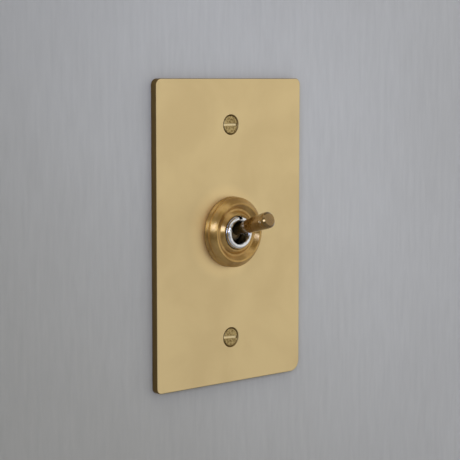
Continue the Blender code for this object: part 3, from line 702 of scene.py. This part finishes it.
def slot_tool(length, depth, width, front, lip=0.06 * MM):
    """A saw cut whose lips are slightly rounded. Its floor is at height front - depth."""
    outline = soften([
        (-width / 2 - 0.5 * MM, front + MM), (-width / 2 - lip, front + 0.2 * MM), (-width / 2 - lip, front),
        (-width / 2, front - lip * 1.5), (-width / 2, front - depth, 0.12 * MM),
        (width / 2, front - depth, 0.12 * MM), (width / 2, front - lip * 1.5), (width / 2 + lip, front),
        (width / 2 + lip, front + 0.2 * MM), (width / 2 + 0.5 * MM, front + MM),
    ], closed=True)
    return place(extrude("slot_tool", outline, length), rotation=ON_EDGE)


def make_fixing_screw(side):
    end = -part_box("fixing_screw_" + side)[1].y
    top, bottom = 0.3 * MM, end + 0.5 * MM
    shank = 1.75 * MM
    profile = soften(mm([(0.0, 0.0), (3.32, 0.0, 0.10), (3.5, -0.22)], HEAD_FRONT)
                     + [(shank, HEAD_FRONT - 1.95 * MM)])
    profile += thread_rows(shank, top, bottom, SCREW_THREAD_PITCH)
    profile += [(shank - 0.45 * MM, end), (0.0, end)]
    cut_thread = thread(shank, top, bottom, SCREW_THREAD_PITCH, 0.42 * MM)
    screw = lathe("fixing_screw_" + side + "_threaded", profile, 64, cut_thread)
    machine(screw, slot_tool(9 * MM, 0.6 * MM, 0.95 * MM, HEAD_FRONT))
    turned = Vector(OUT_OF_WALL) + Vector((0, SLOT_TURN[side], 0))
    return place(screw, (0, 0, SCREW_HEIGHTS[side]), turned)


def make_captive_washer(side):
    low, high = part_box("captive_washer_" + side)
    outer = (high.x - low.x) / 2
    profile = rounded_box(2.05 * MM, outer, -low.y, -high.y, 0.18 * MM)
    ring = lathe("captive_washer_" + side + "_moulded", profile, 48)
    return place(ring, (0, 0, SCREW_HEIGHTS[side]), OUT_OF_WALL)


for side in SCREW_HEIGHTS:
    hand_over(make_fixing_screw(side), screw_brass, "fixing_screw_" + side)
    hand_over(make_captive_washer(side), white_nylon, "captive_washer_" + side)
print("screw heights mm", [round(v / MM, 2) for v in SCREW_HEIGHTS.values()])

# %% [markdown]
# ## The rosette nut
# The rosette is one piece of turned bar that screws onto the bush. From the plate outwards it has a base
# band, a fine parting groove, a full roll and then a narrow rim. Inside the rim the face is dished, with one
# raised bead, and falls away to the bush. A single profile with filleted corners gives all of that.

# %% Rosette nut
def make_rosette():
    profile = soften(mm([
        (6.6, 3.30), (6.42, 3.60), (6.42, 4.25, 0.15), (7.3, 4.60, 0.3), (8.55, 3.42, 0.3), (9.3, 3.42, 0.3),
        (10.85, 4.92, 0.3), (11.5, 5.0, 0.35), (12.65, 4.12, 1.0), (13.66, 2.90, 0.5), (13.6, 2.20, 0.3),
        (13.0, 1.75, 0.05), (13.0, 1.30, 0.05), (13.15, 1.20, 0.10), (13.7, 0.45, 0.10), (13.7, 0.02, 0.10),
        (6.6, 0.02),
    ], PLATE_THICK), closed=True, steps=6)
    return place(lathe("rosette_nut_turned", profile, 160), rotation=OUT_OF_WALL)


rosette = make_rosette()
hand_over(rosette, rosette_brass, "rosette_nut")
print("rosette across mm", round(rosette.dimensions.x / MM, 2))

# %% [markdown]
# ## The bush
# A plated bush carries the whole switch. Its nose has a smooth rolled lip, below which the thread shows in
# the gap inside the rosette, and a keyway runs down its upper side. The bore is open enough for the lever to
# swing.

# %% Threaded bush
BUSH_RADIUS = 6.3 * MM
BUSH_PITCH = 0.8 * MM
BUSH_BORE = 4.15 * MM
PIN_HOLE = 1.05 * MM


def make_bush():
    low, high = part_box("threaded_bush")
    nose, rear = -low.y, -high.y
    shoulder = -4.8 * MM
    top = nose - 1.6 * MM
    lip, lip_radius = 5.31 * MM, 0.99 * MM
    rolled = [(lip + r, nose - lip_radius + h) for r, h in arc(lip_radius, 180, -30, 22)]
    bore = lip - lip_radius
    profile = soften([(BUSH_BORE, PLATE_THICK + 2.6 * MM, 0.4 * MM), (bore, PLATE_THICK + 3.2 * MM, 0.4 * MM),
                      (bore, nose - lip_radius)])
    profile += rolled[1:] + [(6.05 * MM, nose - 1.45 * MM), (BUSH_RADIUS, top + 0.05 * MM)]
    profile += thread_rows(BUSH_RADIUS, top, shoulder, BUSH_PITCH)
    profile += [
        (5.4 * MM, shoulder), (5.4 * MM, -6.4 * MM), (6.2 * MM, -6.4 * MM), (5.4 * MM, rear),
        (4.85 * MM, rear), (4.85 * MM, -3.0 * MM), (BUSH_BORE, -0.5 * MM),
    ]
    cut_thread = thread(BUSH_RADIUS, top, shoulder, BUSH_PITCH, 0.4 * MM)
    bush = place(lathe("threaded_bush_plated", profile, 120, cut_thread), rotation=OUT_OF_WALL)
    machine(bush, block("keyway_tool", (-0.85 * MM, low.y - MM, 5.2 * MM), (0.85 * MM, 3.8 * MM, 9 * MM)))
    return drill(bush, PIN_HOLE, PIVOT, axis="X")


bush = make_bush()
hand_over(bush, bush_plate, "threaded_bush")
print("bush faces", len(bush.data.polygons))

# %% [markdown]
# ## The dolly lever
# The lever thickens towards its end, where two fine rings are cut and the tip is chamfered to a slightly
# domed face. Inside the bush it swells into a ball, and its hollow tail holds the sprung plunger.

# %% Dolly lever
def make_lever():
    length = 23.0 * MM
    ball, neck, tail = 3.8 * MM, 2.1 * MM, 2.1 * MM
    neck_angle = math.degrees(math.acos(neck / ball))
    tail_angle = -math.degrees(math.acos(tail / ball))
    tip = mm([
        (0.0, 0.0), (2.40, -0.02, 0.15), (3.08, -0.67, 0.2), (3.19, -1.30, 0.4), (3.20, -1.95, 0.03),
        (3.10, -2.03), (3.10, -2.15), (3.20, -2.23, 0.03), (3.20, -2.70, 0.03), (3.10, -2.78), (3.10, -2.90),
        (3.18, -2.98, 0.03),
    ], length)
    shaft = mm([(3.00, 14.5, 3.0), (2.75, 11.0, 3.0), (2.15, 6.5, 6.0), (2.1, 4.2, 0.5)])
    foot = [(*arc(ball, neck_angle, 0, 2)[0], 0.4 * MM)]
    upper = soften(tip + shaft + foot, steps=8)
    ball_arc = arc(ball, neck_angle, tail_angle, 32)
    hollow = mm([(2.1, -9.3, 0.15), (1.45, -9.3, 0.10), (1.45, -1.8), (0.0, -1.8)])
    lower = soften([ball_arc[-1]] + hollow)
    lever = lathe("dolly_lever_turned", upper[:-1] + ball_arc[:-1] + lower, 96)
    place(lever, PIVOT, ALONG_LEVER)
    return drill(lever, PIN_HOLE, PIVOT, axis="X")


lever = make_lever()
hand_over(lever, lever_brass, "toggle_lever", body="lever")
print("lever box mm", [round(v / MM, 1) for v in lever.dimensions])

# %% [markdown]
# ## Washers and nut behind the plate
# A red fibre washer, an internal-tooth lock washer and a hexagon nut pull the bush tight. The teeth are
# twisted a point at a time, because each tooth really is a small tongue bent out of the sheet. The nut is a
# hexagon turned with a cone at each end, which leaves the curved chamfers that every nut shows.

# %% Fibre washer, lock washer and nut
def make_fibre_washer():
    low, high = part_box("fibre_washer")
    profile = rounded_box(BUSH_HOLE, high.x, -low.y, -high.y, 0.12 * MM)
    return place(lathe("fibre_washer_punched", profile, 96), rotation=OUT_OF_WALL)


def make_lock_washer():
    """Rows of points go round the ring, front and back. The three inner rows are the teeth: each leans out of
    the sheet, and the faces between two teeth are left out."""
    low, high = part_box("lock_washer")
    root, teeth, per_tooth = 8.2 * MM, 12, 12
    centre = (low.y + high.y) / 2
    thick, twist = 0.40 * MM, 0.9
    bm = bmesh.new()
    rows = [BUSH_HOLE, 7.1 * MM, 7.6 * MM, root, 8.9 * MM, high.x]
    steps = teeth * per_tooth
    grid = []
    for level in (-0.5, 0.5):
        for r in rows:
            ring = []
            for k in range(steps):
                angle = math.tau * k / steps
                phase = (k % per_tooth) / per_tooth - 0.5
                lean = 0.0 if r >= root else (root - r) / (root - BUSH_HOLE)
                lift = lean * phase * twist * MM
                height = centre + level * thick + lift
                ring.append(bm.verts.new((r * math.cos(angle), height, r * math.sin(angle))))
            grid.append(ring)
    count = len(rows)
    gap = {0, 1, 11}

    def solid(j, k):
        return j >= 3 or k % per_tooth not in gap

    for k in range(steps):
        n = (k + 1) % steps
        for j in range(count - 1):
            if not solid(j, k):
                continue
            front, back = grid[:count], grid[count:]
            bm.faces.new((front[j][k], front[j + 1][k], front[j + 1][n], front[j][n]))
            bm.faces.new((back[j][k], back[j][n], back[j + 1][n], back[j + 1][k]))
            if j == 0 or not solid(j - 1, k):
                bm.faces.new((front[j][k], front[j][n], back[j][n], back[j][k]))
            if j == count - 2:
                bm.faces.new((front[j + 1][k], back[j + 1][k], back[j + 1][n], front[j + 1][n]))
            if not solid(j, (k - 1) % steps):
                bm.faces.new((front[j][k], back[j][k], back[j + 1][k], front[j + 1][k]))
            if not solid(j, n):
                bm.faces.new((front[j][n], front[j + 1][n], back[j + 1][n], back[j][n]))
    loose = [v for v in bm.verts if not v.link_faces]
    bmesh.ops.delete(bm, geom=loose, context="VERTS")
    return shaded("lock_washer_toothed", bm)


def make_back_nut():
    low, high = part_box("back_nut")
    flat = (high.x - low.x) / 2
    corner = flat / math.cos(math.pi / 6)
    depth = high.y - low.y
    bm = bmesh.new()
    bmesh.ops.create_cone(bm, cap_ends=True, segments=6, radius1=corner, radius2=corner, depth=depth)
    bmesh.ops.rotate(bm, verts=bm.verts, cent=(0, 0, 0), matrix=Matrix.Rotation(math.pi / 6, 3, "Z"))
    nut = shaded("back_nut_hexagon", bm)
    if nut.dimensions.x > nut.dimensions.y:
        nut.data.transform(Matrix.Rotation(math.pi / 6, 4, "Z"))
    chamfer = 0.62 * MM
    cone = lathe("nut_chamfer_tool", [
        (0.0, depth / 2), (flat - 0.2 * MM, depth / 2), (corner + 0.2 * MM, depth / 2 - chamfer),
        (corner + 0.2 * MM, -depth / 2 + chamfer), (flat - 0.2 * MM, -depth / 2), (0.0, -depth / 2),
    ], 96)
    machine(nut, cone, "INTERSECT")
    bore = lathe("nut_bore_tool", [
        (0.0, depth), (BUSH_HOLE + 0.9 * MM, depth), (BUSH_HOLE + 0.4 * MM, depth / 2),
        (BUSH_HOLE, depth / 2 - 0.4 * MM), (BUSH_HOLE, -depth / 2 + 0.4 * MM),
        (BUSH_HOLE + 0.4 * MM, -depth / 2), (BUSH_HOLE + 0.9 * MM, -depth), (0.0, -depth),
    ], 96)
    machine(nut, bore)
    return place(nut, (0, (low.y + high.y) / 2, 0), OUT_OF_WALL)


hand_over(make_fibre_washer(), red_fibre, "fibre_washer")
hand_over(make_lock_washer(), spring_steel, "lock_washer")
back_nut = hand_over(make_back_nut(), zinc_plate, "back_nut")
print("back nut mm", [round(v / MM, 1) for v in back_nut.dimensions])

# %% [markdown]
# ## The moulded body and base
# The mechanism sits in a black phenolic box, closed by a brown base whose two barriers keep the wires apart.
# The mouldings have rounded corners and softly broken edges, as the steel mould that made them had.

# %% Switch body and rear base
TERMINAL_HEIGHTS = {"top": 10.5 * MM, "common": 0.0, "bottom": -10.5 * MM}
TERMINAL_SCREW_X = 0.8 * MM
EARTH_HEIGHT = -21 * MM
SCREW_CLEARANCE = 2.0 * MM


def make_body():
    low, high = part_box("switch_body")
    outline = rounded_box(low.x, high.x, low.z, high.z, MM, steps=6)
    body = extrude("switch_body_moulded", outline, high.y - low.y)
    place(body, (0, (low.y + high.y) / 2, 0), OUT_OF_WALL)
    sink, half = 0.35 * MM, 4.6 * MM
    for left, right in ((low.x - MM, low.x + sink), (high.x - sink, high.x + MM)):
        machine(body, block("sink_tool", (left, low.y + 4 * MM, -half), (right, high.y - 4 * MM, half)))
    cavity, half_z, floor = 6.5 * MM, 13.5 * MM, 7.4 * MM
    machine(body, block("cavity_tool", (-cavity, 8.0 * MM, -half_z), (cavity, high.y + MM, half_z)))
    drill(body, cavity, (0, 0, 0), length=2 * floor)
    drill(body, cavity, (0, floor, 0), length=1.6 * MM)
    return break_edges(body, 0.18 * MM)


def make_base():
    low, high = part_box("rear_base")
    slab_rear = 24.8 * MM
    outline = rounded_box(low.x, high.x, low.z, high.z, 0.8 * MM, steps=5)
    base = extrude("rear_base_moulded", outline, slab_rear - low.y)
    place(base, (0, (low.y + slab_rear) / 2, 0), OUT_OF_WALL)
    barrier = 7.4 * MM
    for z in (5.25 * MM, -5.25 * MM):
        wall = soften([(-barrier, slab_rear - MM), (barrier, slab_rear - MM),
                       (barrier - 0.4 * MM, high.y, 0.9 * MM), (-barrier + 0.4 * MM, high.y, 0.9 * MM)],
                      closed=True, steps=5)
        machine(base, place(extrude("barrier", wall, 1.4 * MM), (0, 0, z)), "UNION")
    for z in TERMINAL_HEIGHTS.values():
        machine(base, block("leg_slot_tool", (-5.5 * MM, low.y - MM, z - 3.1 * MM),
                            (-3.9 * MM, slab_rear + MM, z + 3.1 * MM)))
        drill(base, SCREW_CLEARANCE, (TERMINAL_SCREW_X, 23.5 * MM, z), length=6 * MM)
    return break_edges(base, 0.2 * MM)


body = hand_over(make_body(), body_phenolic, "switch_body")
base = hand_over(make_base(), base_phenolic, "rear_base")
print("mouldings mm", [round(v / MM, 1) for v in (*body.dimensions, *base.dimensions)])

# %% [markdown]
# ## The steel frame
# One strip of zinc-plated steel holds the switch together. It is staked to the bush in front, and its side
# straps are bent over behind the base. Bends in sheet always have a radius, so the outline is filleted
# before it is given its width, and the bridge and the earthing tab are then welded on.

# %% Steel frame
def make_frame():
    low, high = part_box("steel_frame")
    front, rear = low.y, high.y
    sheet = 1.0 * MM
    inside, outside = high.x - sheet, high.x
    hook = 1.6 * MM
    bend = 1.1 * MM
    right = [(outside, front, bend), (outside, rear, bend), (inside - hook, rear),
             (inside - hook, rear - sheet), (inside, rear - sheet, 0.15 * MM),
             (inside, front + sheet, 0.15 * MM)]
    left = [(-x, y, *rest) for x, y, *rest in reversed(right)]
    strap = extrude("steel_frame_bent", soften(right + left, closed=True, steps=6), 11 * MM)
    half_z = 16.5 * MM
    bridge = soften([(-inside, -half_z, MM), (-4.5 * MM, -half_z, 0.6 * MM), (-4.5 * MM, low.z, 1.2 * MM),
                     (4.5 * MM, low.z, 1.2 * MM), (4.5 * MM, -half_z, 0.6 * MM), (inside, -half_z, MM),
                     (inside, half_z, MM), (-inside, half_z, MM)], closed=True, steps=6)
    machine(strap, place(extrude("bridge", bridge, sheet), (0, front + sheet / 2, 0), OUT_OF_WALL), "UNION")
    drill(strap, 5.7 * MM, (0, front, 0), length=4 * MM)
    drill(strap, SCREW_CLEARANCE, (0, front, EARTH_HEIGHT), length=4 * MM)
    return break_edges(strap, 0.12 * MM)


frame_piece = hand_over(make_frame(), zinc_plate, "steel_frame")
print("frame mm", [round(v / MM, 2) for v in frame_piece.dimensions])

# %% [markdown]
# ## Terminals, saddles and screws
# Each terminal is a brass strip that comes out through the base and folds flat. A saddle plate and a slotted
# screw clamp the wire to it. The three sets are alike, so one loop makes them, and the earth screw uses the
# same pattern in green.

# %% Terminals and their screws
LEG, INNER = -5.2 * MM, -4.2 * MM
BEND, TIGHT, CUT = 0.8 * MM, 0.12 * MM, 0.2 * MM


def strip_outline(front_points, face, rear):
    """Adds what every strip shares to the front of it: a leg through the base and a pad folded over it."""
    end = 5.0 * MM
    return front_points + [(INNER, face, TIGHT), (end, face, CUT), (end, rear, CUT), (LEG, rear, BEND)]


def make_end_terminal(side):
    node = "end_terminal_" + side
    low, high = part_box(node)
    tail = 3.0 * MM
    front = [(LEG, low.y, BEND), (tail, low.y, CUT), (tail, low.y + MM, CUT), (INNER, low.y + MM, TIGHT)]
    outline = soften(strip_outline(front, high.y - MM, high.y), closed=True, steps=5)
    z = TERMINAL_HEIGHTS[side]
    strip = place(extrude(node + "_pressed", outline, high.z - low.z), (0, 0, z))
    drill(strip, SCREW_CLEARANCE, (TERMINAL_SCREW_X, 26 * MM, z), length=4 * MM)
    drill(strip, 1.0 * MM, (0, low.y, middle("fixed_contact_" + side).z), length=4 * MM)
    return break_edges(strip, 0.1 * MM)


def make_common_terminal():
    low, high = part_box("common_terminal")
    bridge = 19.5 * MM
    front = [(LEG, low.y, CUT), (INNER, low.y, CUT), (INNER, bridge, TIGHT), (-INNER, bridge, TIGHT),
             (-INNER, low.y, CUT), (-LEG, low.y, CUT), (-LEG, bridge + MM, BEND), (INNER, bridge + MM, TIGHT)]
    outline = soften(strip_outline(front, high.y - MM, high.y), closed=True, steps=5)
    strip = extrude("common_terminal_pressed", outline, high.z - low.z)
    notch = 1.15 * MM
    machine(strip, block("notch_tool", (-8 * MM, 8 * MM, -notch), (8 * MM, 10.95 * MM, notch)))
    drill(strip, SCREW_CLEARANCE, (TERMINAL_SCREW_X, 26 * MM, 0), length=4 * MM)
    return break_edges(strip, 0.1 * MM)


def make_saddle(label):
    """A square plate whose two edges are turned towards the wire."""
    low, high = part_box("wire_saddle_" + label)
    z = TERMINAL_HEIGHTS[label]
    half = (high.z - low.z) / 2
    sharp, round_bend, edge_bend = 0.1 * MM, 0.4 * MM, 0.3 * MM
    dip, edge = low.y + 0.25 * MM, high.y - 0.2 * MM
    outline = soften([
        (low.y, -half, sharp), (low.y, -half + 0.7 * MM, sharp), (dip, -half + 1.2 * MM, round_bend),
        (dip, half - 1.2 * MM, round_bend), (low.y, half - 0.7 * MM, sharp), (low.y, half, sharp),
        (edge, half, edge_bend), (high.y, half - 1.1 * MM, round_bend),
        (high.y, -half + 1.1 * MM, round_bend), (edge, -half, edge_bend),
    ], closed=True, steps=5)
    saddle = extrude("wire_saddle_" + label + "_pressed", outline, high.x - low.x)
    place(saddle, ((low.x + high.x) / 2, 0, z), ON_EDGE)
    drill(saddle, SCREW_CLEARANCE, (TERMINAL_SCREW_X, low.y, z), length=4 * MM)
    return break_edges(saddle, 0.08 * MM)


def make_pan_screw(node, x, z):
    low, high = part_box(node)
    seat, top, end = high.y - 1.8 * MM, high.y, low.y
    head, shank = 3.0 * MM, 1.7 * MM
    thread_top, thread_end = seat - 0.3 * MM, end + 0.3 * MM
    crown = mm([(0.0, 0.0), (1.9, -0.05, 0.8), (2.85, -0.45, 0.5), (3.0, -1.1, 0.3)], top)
    profile = soften(crown + [(head, seat, 0.12 * MM), (shank, seat), (shank, thread_top + 0.02 * MM)], steps=6)
    profile += thread_rows(shank, thread_top, thread_end, SCREW_THREAD_PITCH)
    profile += [(shank - 0.4 * MM, end), (0.0, end)]
    cut_thread = thread(shank, thread_top, thread_end, SCREW_THREAD_PITCH, 0.4 * MM)
    screw = lathe(node + "_slotted", profile, 64, cut_thread)
    machine(screw, slot_tool(8 * MM, 0.9 * MM, 0.9 * MM, top))
    return place(screw, (x, 0, z), INTO_WALL)


for label, z in TERMINAL_HEIGHTS.items():
    node = "terminal_screw_" + label
    hand_over(make_pan_screw(node, TERMINAL_SCREW_X, z), screw_brass, node)
    hand_over(make_saddle(label), zinc_plate, "wire_saddle_" + label)
for side in ("top", "bottom"):
    hand_over(make_end_terminal(side), strip_brass, "end_terminal_" + side)
hand_over(make_common_terminal(), strip_brass, "common_terminal")
hand_over(make_pan_screw("earth_screw", 0.0, EARTH_HEIGHT), green_zinc, "earth_screw")
print("finished pieces", len(finished))

# %% [markdown]
# ## The pieces inside
# The spring is a round wire wound along the lever's axis, and it is attached to the plunger unit. The rocker,
# its contacts, the plunger and the pivot pin are sealed in the body. Their solids already have their true
# shape, so they keep it and only get their metal.

# %% Plunger spring
def make_spring(top, bottom):
    """Five turns of wire from one height to another along the lever's axis."""
    turns, per_turn = 5, 24
    coil, wire = 0.9 * MM, 0.16 * MM
    curve = bpy.data.curves.new("plunger_spring_wound", "CURVE")
    curve.dimensions = "3D"
    curve.bevel_depth = wire
    curve.bevel_resolution = 3
    curve.use_fill_caps = True
    spline = curve.splines.new("POLY")
    spline.points.add(turns * per_turn)
    for i, point in enumerate(spline.points):
        angle = math.tau * i / per_turn
        height = top + (bottom - top) * i / (turns * per_turn)
        point.co = (coil * math.cos(angle), coil * math.sin(angle), height, 1.0)
    winding = link("winding", curve)
    mesh = bpy.data.meshes.new_from_object(winding.evaluated_get(bpy.context.evaluated_depsgraph_get()))
    bpy.data.objects.remove(winding, do_unlink=True)
    smooth_faces(mesh)
    return place(link("plunger_spring_wound", mesh), PIVOT, ALONG_LEVER)


SPRING_TOP = -2.26 * MM
SPRING_BOTTOM = -6.54 * MM
spring = make_spring(SPRING_TOP, SPRING_BOTTOM)
hand_over(spring, spring_steel, "plunger_spring", body="plunger_unit")
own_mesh(spring)

# %% Metals for the inner pieces
inner_metals = {
    "rocker": rocker_copper, "moving_contact_top": contact_silver, "moving_contact_bottom": contact_silver,
    "fixed_contact_top": contact_silver, "fixed_contact_bottom": contact_silver, "plunger": spring_steel,
    "pivot_pin": spring_steel,
}
for node, metal in inner_metals.items():
    solid_piece = frame["nodes"][node]
    solid_piece.data.materials.clear()
    solid_piece.data.materials.append(metal)
print("inner pieces", len(inner_metals))

# %% [markdown]
# ## The stage
# The switch hangs on a painted wall, so the backdrop is that wall, with an opening behind the plate for the
# mechanism. Seen from behind, the wall's faces turn transparent, and the mechanism can be looked at. A pale
# floor lies below, out of the picture.

# %% Wall and floor
WALL_LEVEL = plate_high.y + 0.05 * MM
FLOOR_LEVEL = -0.45


def wall_paint():
    """Flat grey paint over a fine woven lining: streaks up and down, slow patches of tone and a soft bump, with
    painted light that makes it darker towards the lower left and brighter round the plate.
    """
    material = bpy.data.materials.new("painted_wall")
    material.use_nodes = True
    tree = material.node_tree
    shader = tree.nodes["Principled BSDF"]
    shader.inputs["Roughness"].default_value = 0.82
    patches = use_group(tree, cloud_group, {"Bright": (1.0, 1.0, 1.0, 1.0),
                                            "Dark": (0.965, 0.962, 0.958, 1.0),
                                            "Size": 14.0, "Low": 0.3, "High": 0.7})
    # Painted light: the paint is darker towards the lower left and lighter towards the upper right.
    slope = add(tree, "VectorMath", {0: add(tree, "TexCoord", out="Object"), 1: (0.6, 0.0, 0.55)},
                operation="DOT_PRODUCT")
    height = add(tree, "MapRange", {"Value": slope, "From Min": -0.11, "From Max": 0.08},
                 interpolation_type="SMOOTHSTEP")
    painted_light_gradient = blend_colour(tree, height, (0.405, 0.385, 0.328), (0.605, 0.592, 0.556))
    paint = add(tree, "VectorMath", {0: patches["Color"], 1: painted_light_gradient}, operation="MULTIPLY")
    weave = use_group(tree, grain_group, {"Stretch": (1.0, 1.0, 0.12), "Scale": 420.0, "Detail": 4.0})
    shade = add(tree, "MapRange", {"Value": weave["Height"], "From Min": 0.25, "From Max": 0.75,
                                   "To Min": 0.94, "To Max": 1.04})
    woven = add(tree, "VectorMath", {0: paint, "Scale": shade}, operation="SCALE")
    tree.links.new(woven, shader.inputs["Base Color"])
    # Painted light: the wall is brightened round the plate, against the shade that the plate throws on it.
    paint_light_near(material, (0.0, 0.0, -0.01), 0.05, 0.16, 1.13)
    bump = add(tree, "Bump", {"Height": weave["Height"], "Distance": 0.0002, "Strength": 0.5})
    tree.links.new(bump, shader.inputs["Normal"])
    behind = add(tree, "NewGeometry", out="Backfacing")
    either = add(tree, "MixShader", {0: behind, 1: shader.outputs["BSDF"], 2: add(tree, "BsdfTransparent")})
    tree.links.new(either, tree.nodes["Material Output"].inputs["Surface"])
    return material


def make_wall():
    """A wall with an opening of the plate's own outline, a little smaller, so that the plate covers it."""
    reach, cover = 1.6, 0.8 * MM
    half_x, half_z = PLATE_WIDTH / 2 - cover, PLATE_HEIGHT / 2 - cover
    opening = soften([(side * half_x, end * half_z, CORNER_RADII[side, end]) for side, end in
                      ((-1, -1), (1, -1), (1, 1), (-1, 1))], closed=True, steps=6)
    border = [(-reach, FLOOR_LEVEL), (reach, FLOOR_LEVEL), (reach, reach), (-reach, reach)]
    bm = bmesh.new()
    for outline in (border, opening):
        ring = [bm.verts.new((x, WALL_LEVEL, z)) for x, z in outline]
        for first, second in zip(ring, ring[1:] + ring[:1]):
            bm.edges.new((first, second))
    bmesh.ops.triangle_fill(bm, use_beauty=True, edges=bm.edges[:])
    for face in bm.faces:
        face.normal_update()
        if face.normal.y > 0.0:
            face.normal_flip()
    mesh = bpy.data.meshes.new("painted_wall")
    bm.to_mesh(mesh)
    bm.free()
    mesh.materials.append(wall_paint())
    return link("painted_wall", mesh)


def make_floor():
    floor = block("pale_floor", (-1.6, -2.2, FLOOR_LEVEL - 0.02), (1.6, 2.2, FLOOR_LEVEL))
    floor.data.materials.append(worked_surface(
        "pale_floor", (0.66, 0.65, 0.63), (0.60, 0.59, 0.57), metallic=0.0, roughness=(0.6, 0.75),
        cloud_size=4.0, grain=((1.0, 1.0, 1.0), 300.0), grain_depth=0.0002))
    return floor


make_wall()
make_floor()
print("wall at y mm", round(WALL_LEVEL / MM, 2))

# %% [markdown]
# ## Light and camera
# The plate is a flat satin mirror, so its colour is really the colour of what stands opposite the camera. A
# wide soft panel there makes it glow evenly. A narrower, cooler window panel behind the camera puts the
# bright spokes on the turned rings, and the rest of the room is dim, which keeps the browns deep.

# %% Lights
def soft_panel(name, azimuth, elevation, distance, size, radiance, colour=(1, 1, 1)):
    """A rectangular light. Azimuth 0 is straight out from the plate, and grows to the viewer's right."""
    a, e = math.radians(azimuth), math.radians(elevation)
    direction = Vector((math.sin(a) * math.cos(e), -math.cos(a) * math.cos(e), math.sin(e)))
    light = bpy.data.lights.new(name, "AREA")
    light.shape = "RECTANGLE"
    light.size, light.size_y = size
    light.energy = radiance * math.pi * size[0] * size[1]
    light.color = colour
    lamp = link(name, light)
    lamp.location = direction * distance
    lamp.rotation_euler = direction.to_track_quat("Z", "Y").to_euler()
    lamp.visible_camera = False


soft_panel("room_panel", 44, -5, 1.1, (1.9, 2.0), 0.475)
soft_panel("window_panel", -46, 13, 1.2, (0.62, 0.36), 4.4, colour=(0.84, 1.0, 1.55))
soft_panel("ceiling_panel", -20, 62, 1.1, (1.1, 0.6), 0.6)
soft_panel("rear_panel", 205, 35, 1.0, (0.9, 0.9), 1.6)
soft_panel("rear_fill", 120, 10, 1.0, (0.6, 0.9), 0.9)

world = bpy.data.worlds.new("dim_room")
world.use_nodes = True
air = world.node_tree
outlook = add(air, "TexCoord", out="Generated")
towards_light = add(air, "VectorMath", {0: outlook, 1: (0.10, -0.70, 0.62)}, operation="DOT_PRODUCT")
openness = add(air, "MapRange", {"Value": towards_light, "From Min": -0.5, "From Max": 0.8, "To Min": 0.07,
                                 "To Max": 0.38}, interpolation_type="SMOOTHSTEP")
air.nodes["Background"].inputs["Color"].default_value = (0.98, 0.99, 1.0, 1.0)
air.links.new(openness, air.nodes["Background"].inputs["Strength"])
bpy.context.scene.world = world
bpy.context.scene.view_settings.view_transform = "Standard"
print("lights", len(bpy.data.lights))

# %% [markdown]
# The camera is a long lens at arm's length, about 42 degrees to the left of straight on and a little above
# the lever, looking slightly down.

# %% Camera
CAMERA_PLACE = Vector((-388.2, -438.3, 59.2)) * MM
CAMERA_YAW = math.radians(41.69)
CAMERA_DOWN = math.radians(5.73)

camera_data = bpy.data.cameras.new("camera")
camera_data.lens = 117.6
camera_data.sensor_width = 36.0
camera_data.clip_start = 0.01
camera = link("camera", camera_data)
camera.location = CAMERA_PLACE
camera.rotation_euler = (math.pi / 2 - CAMERA_DOWN, 0.0, -CAMERA_YAW)
bpy.context.scene.camera = camera
print("camera", [round(v, 3) for v in camera.location])
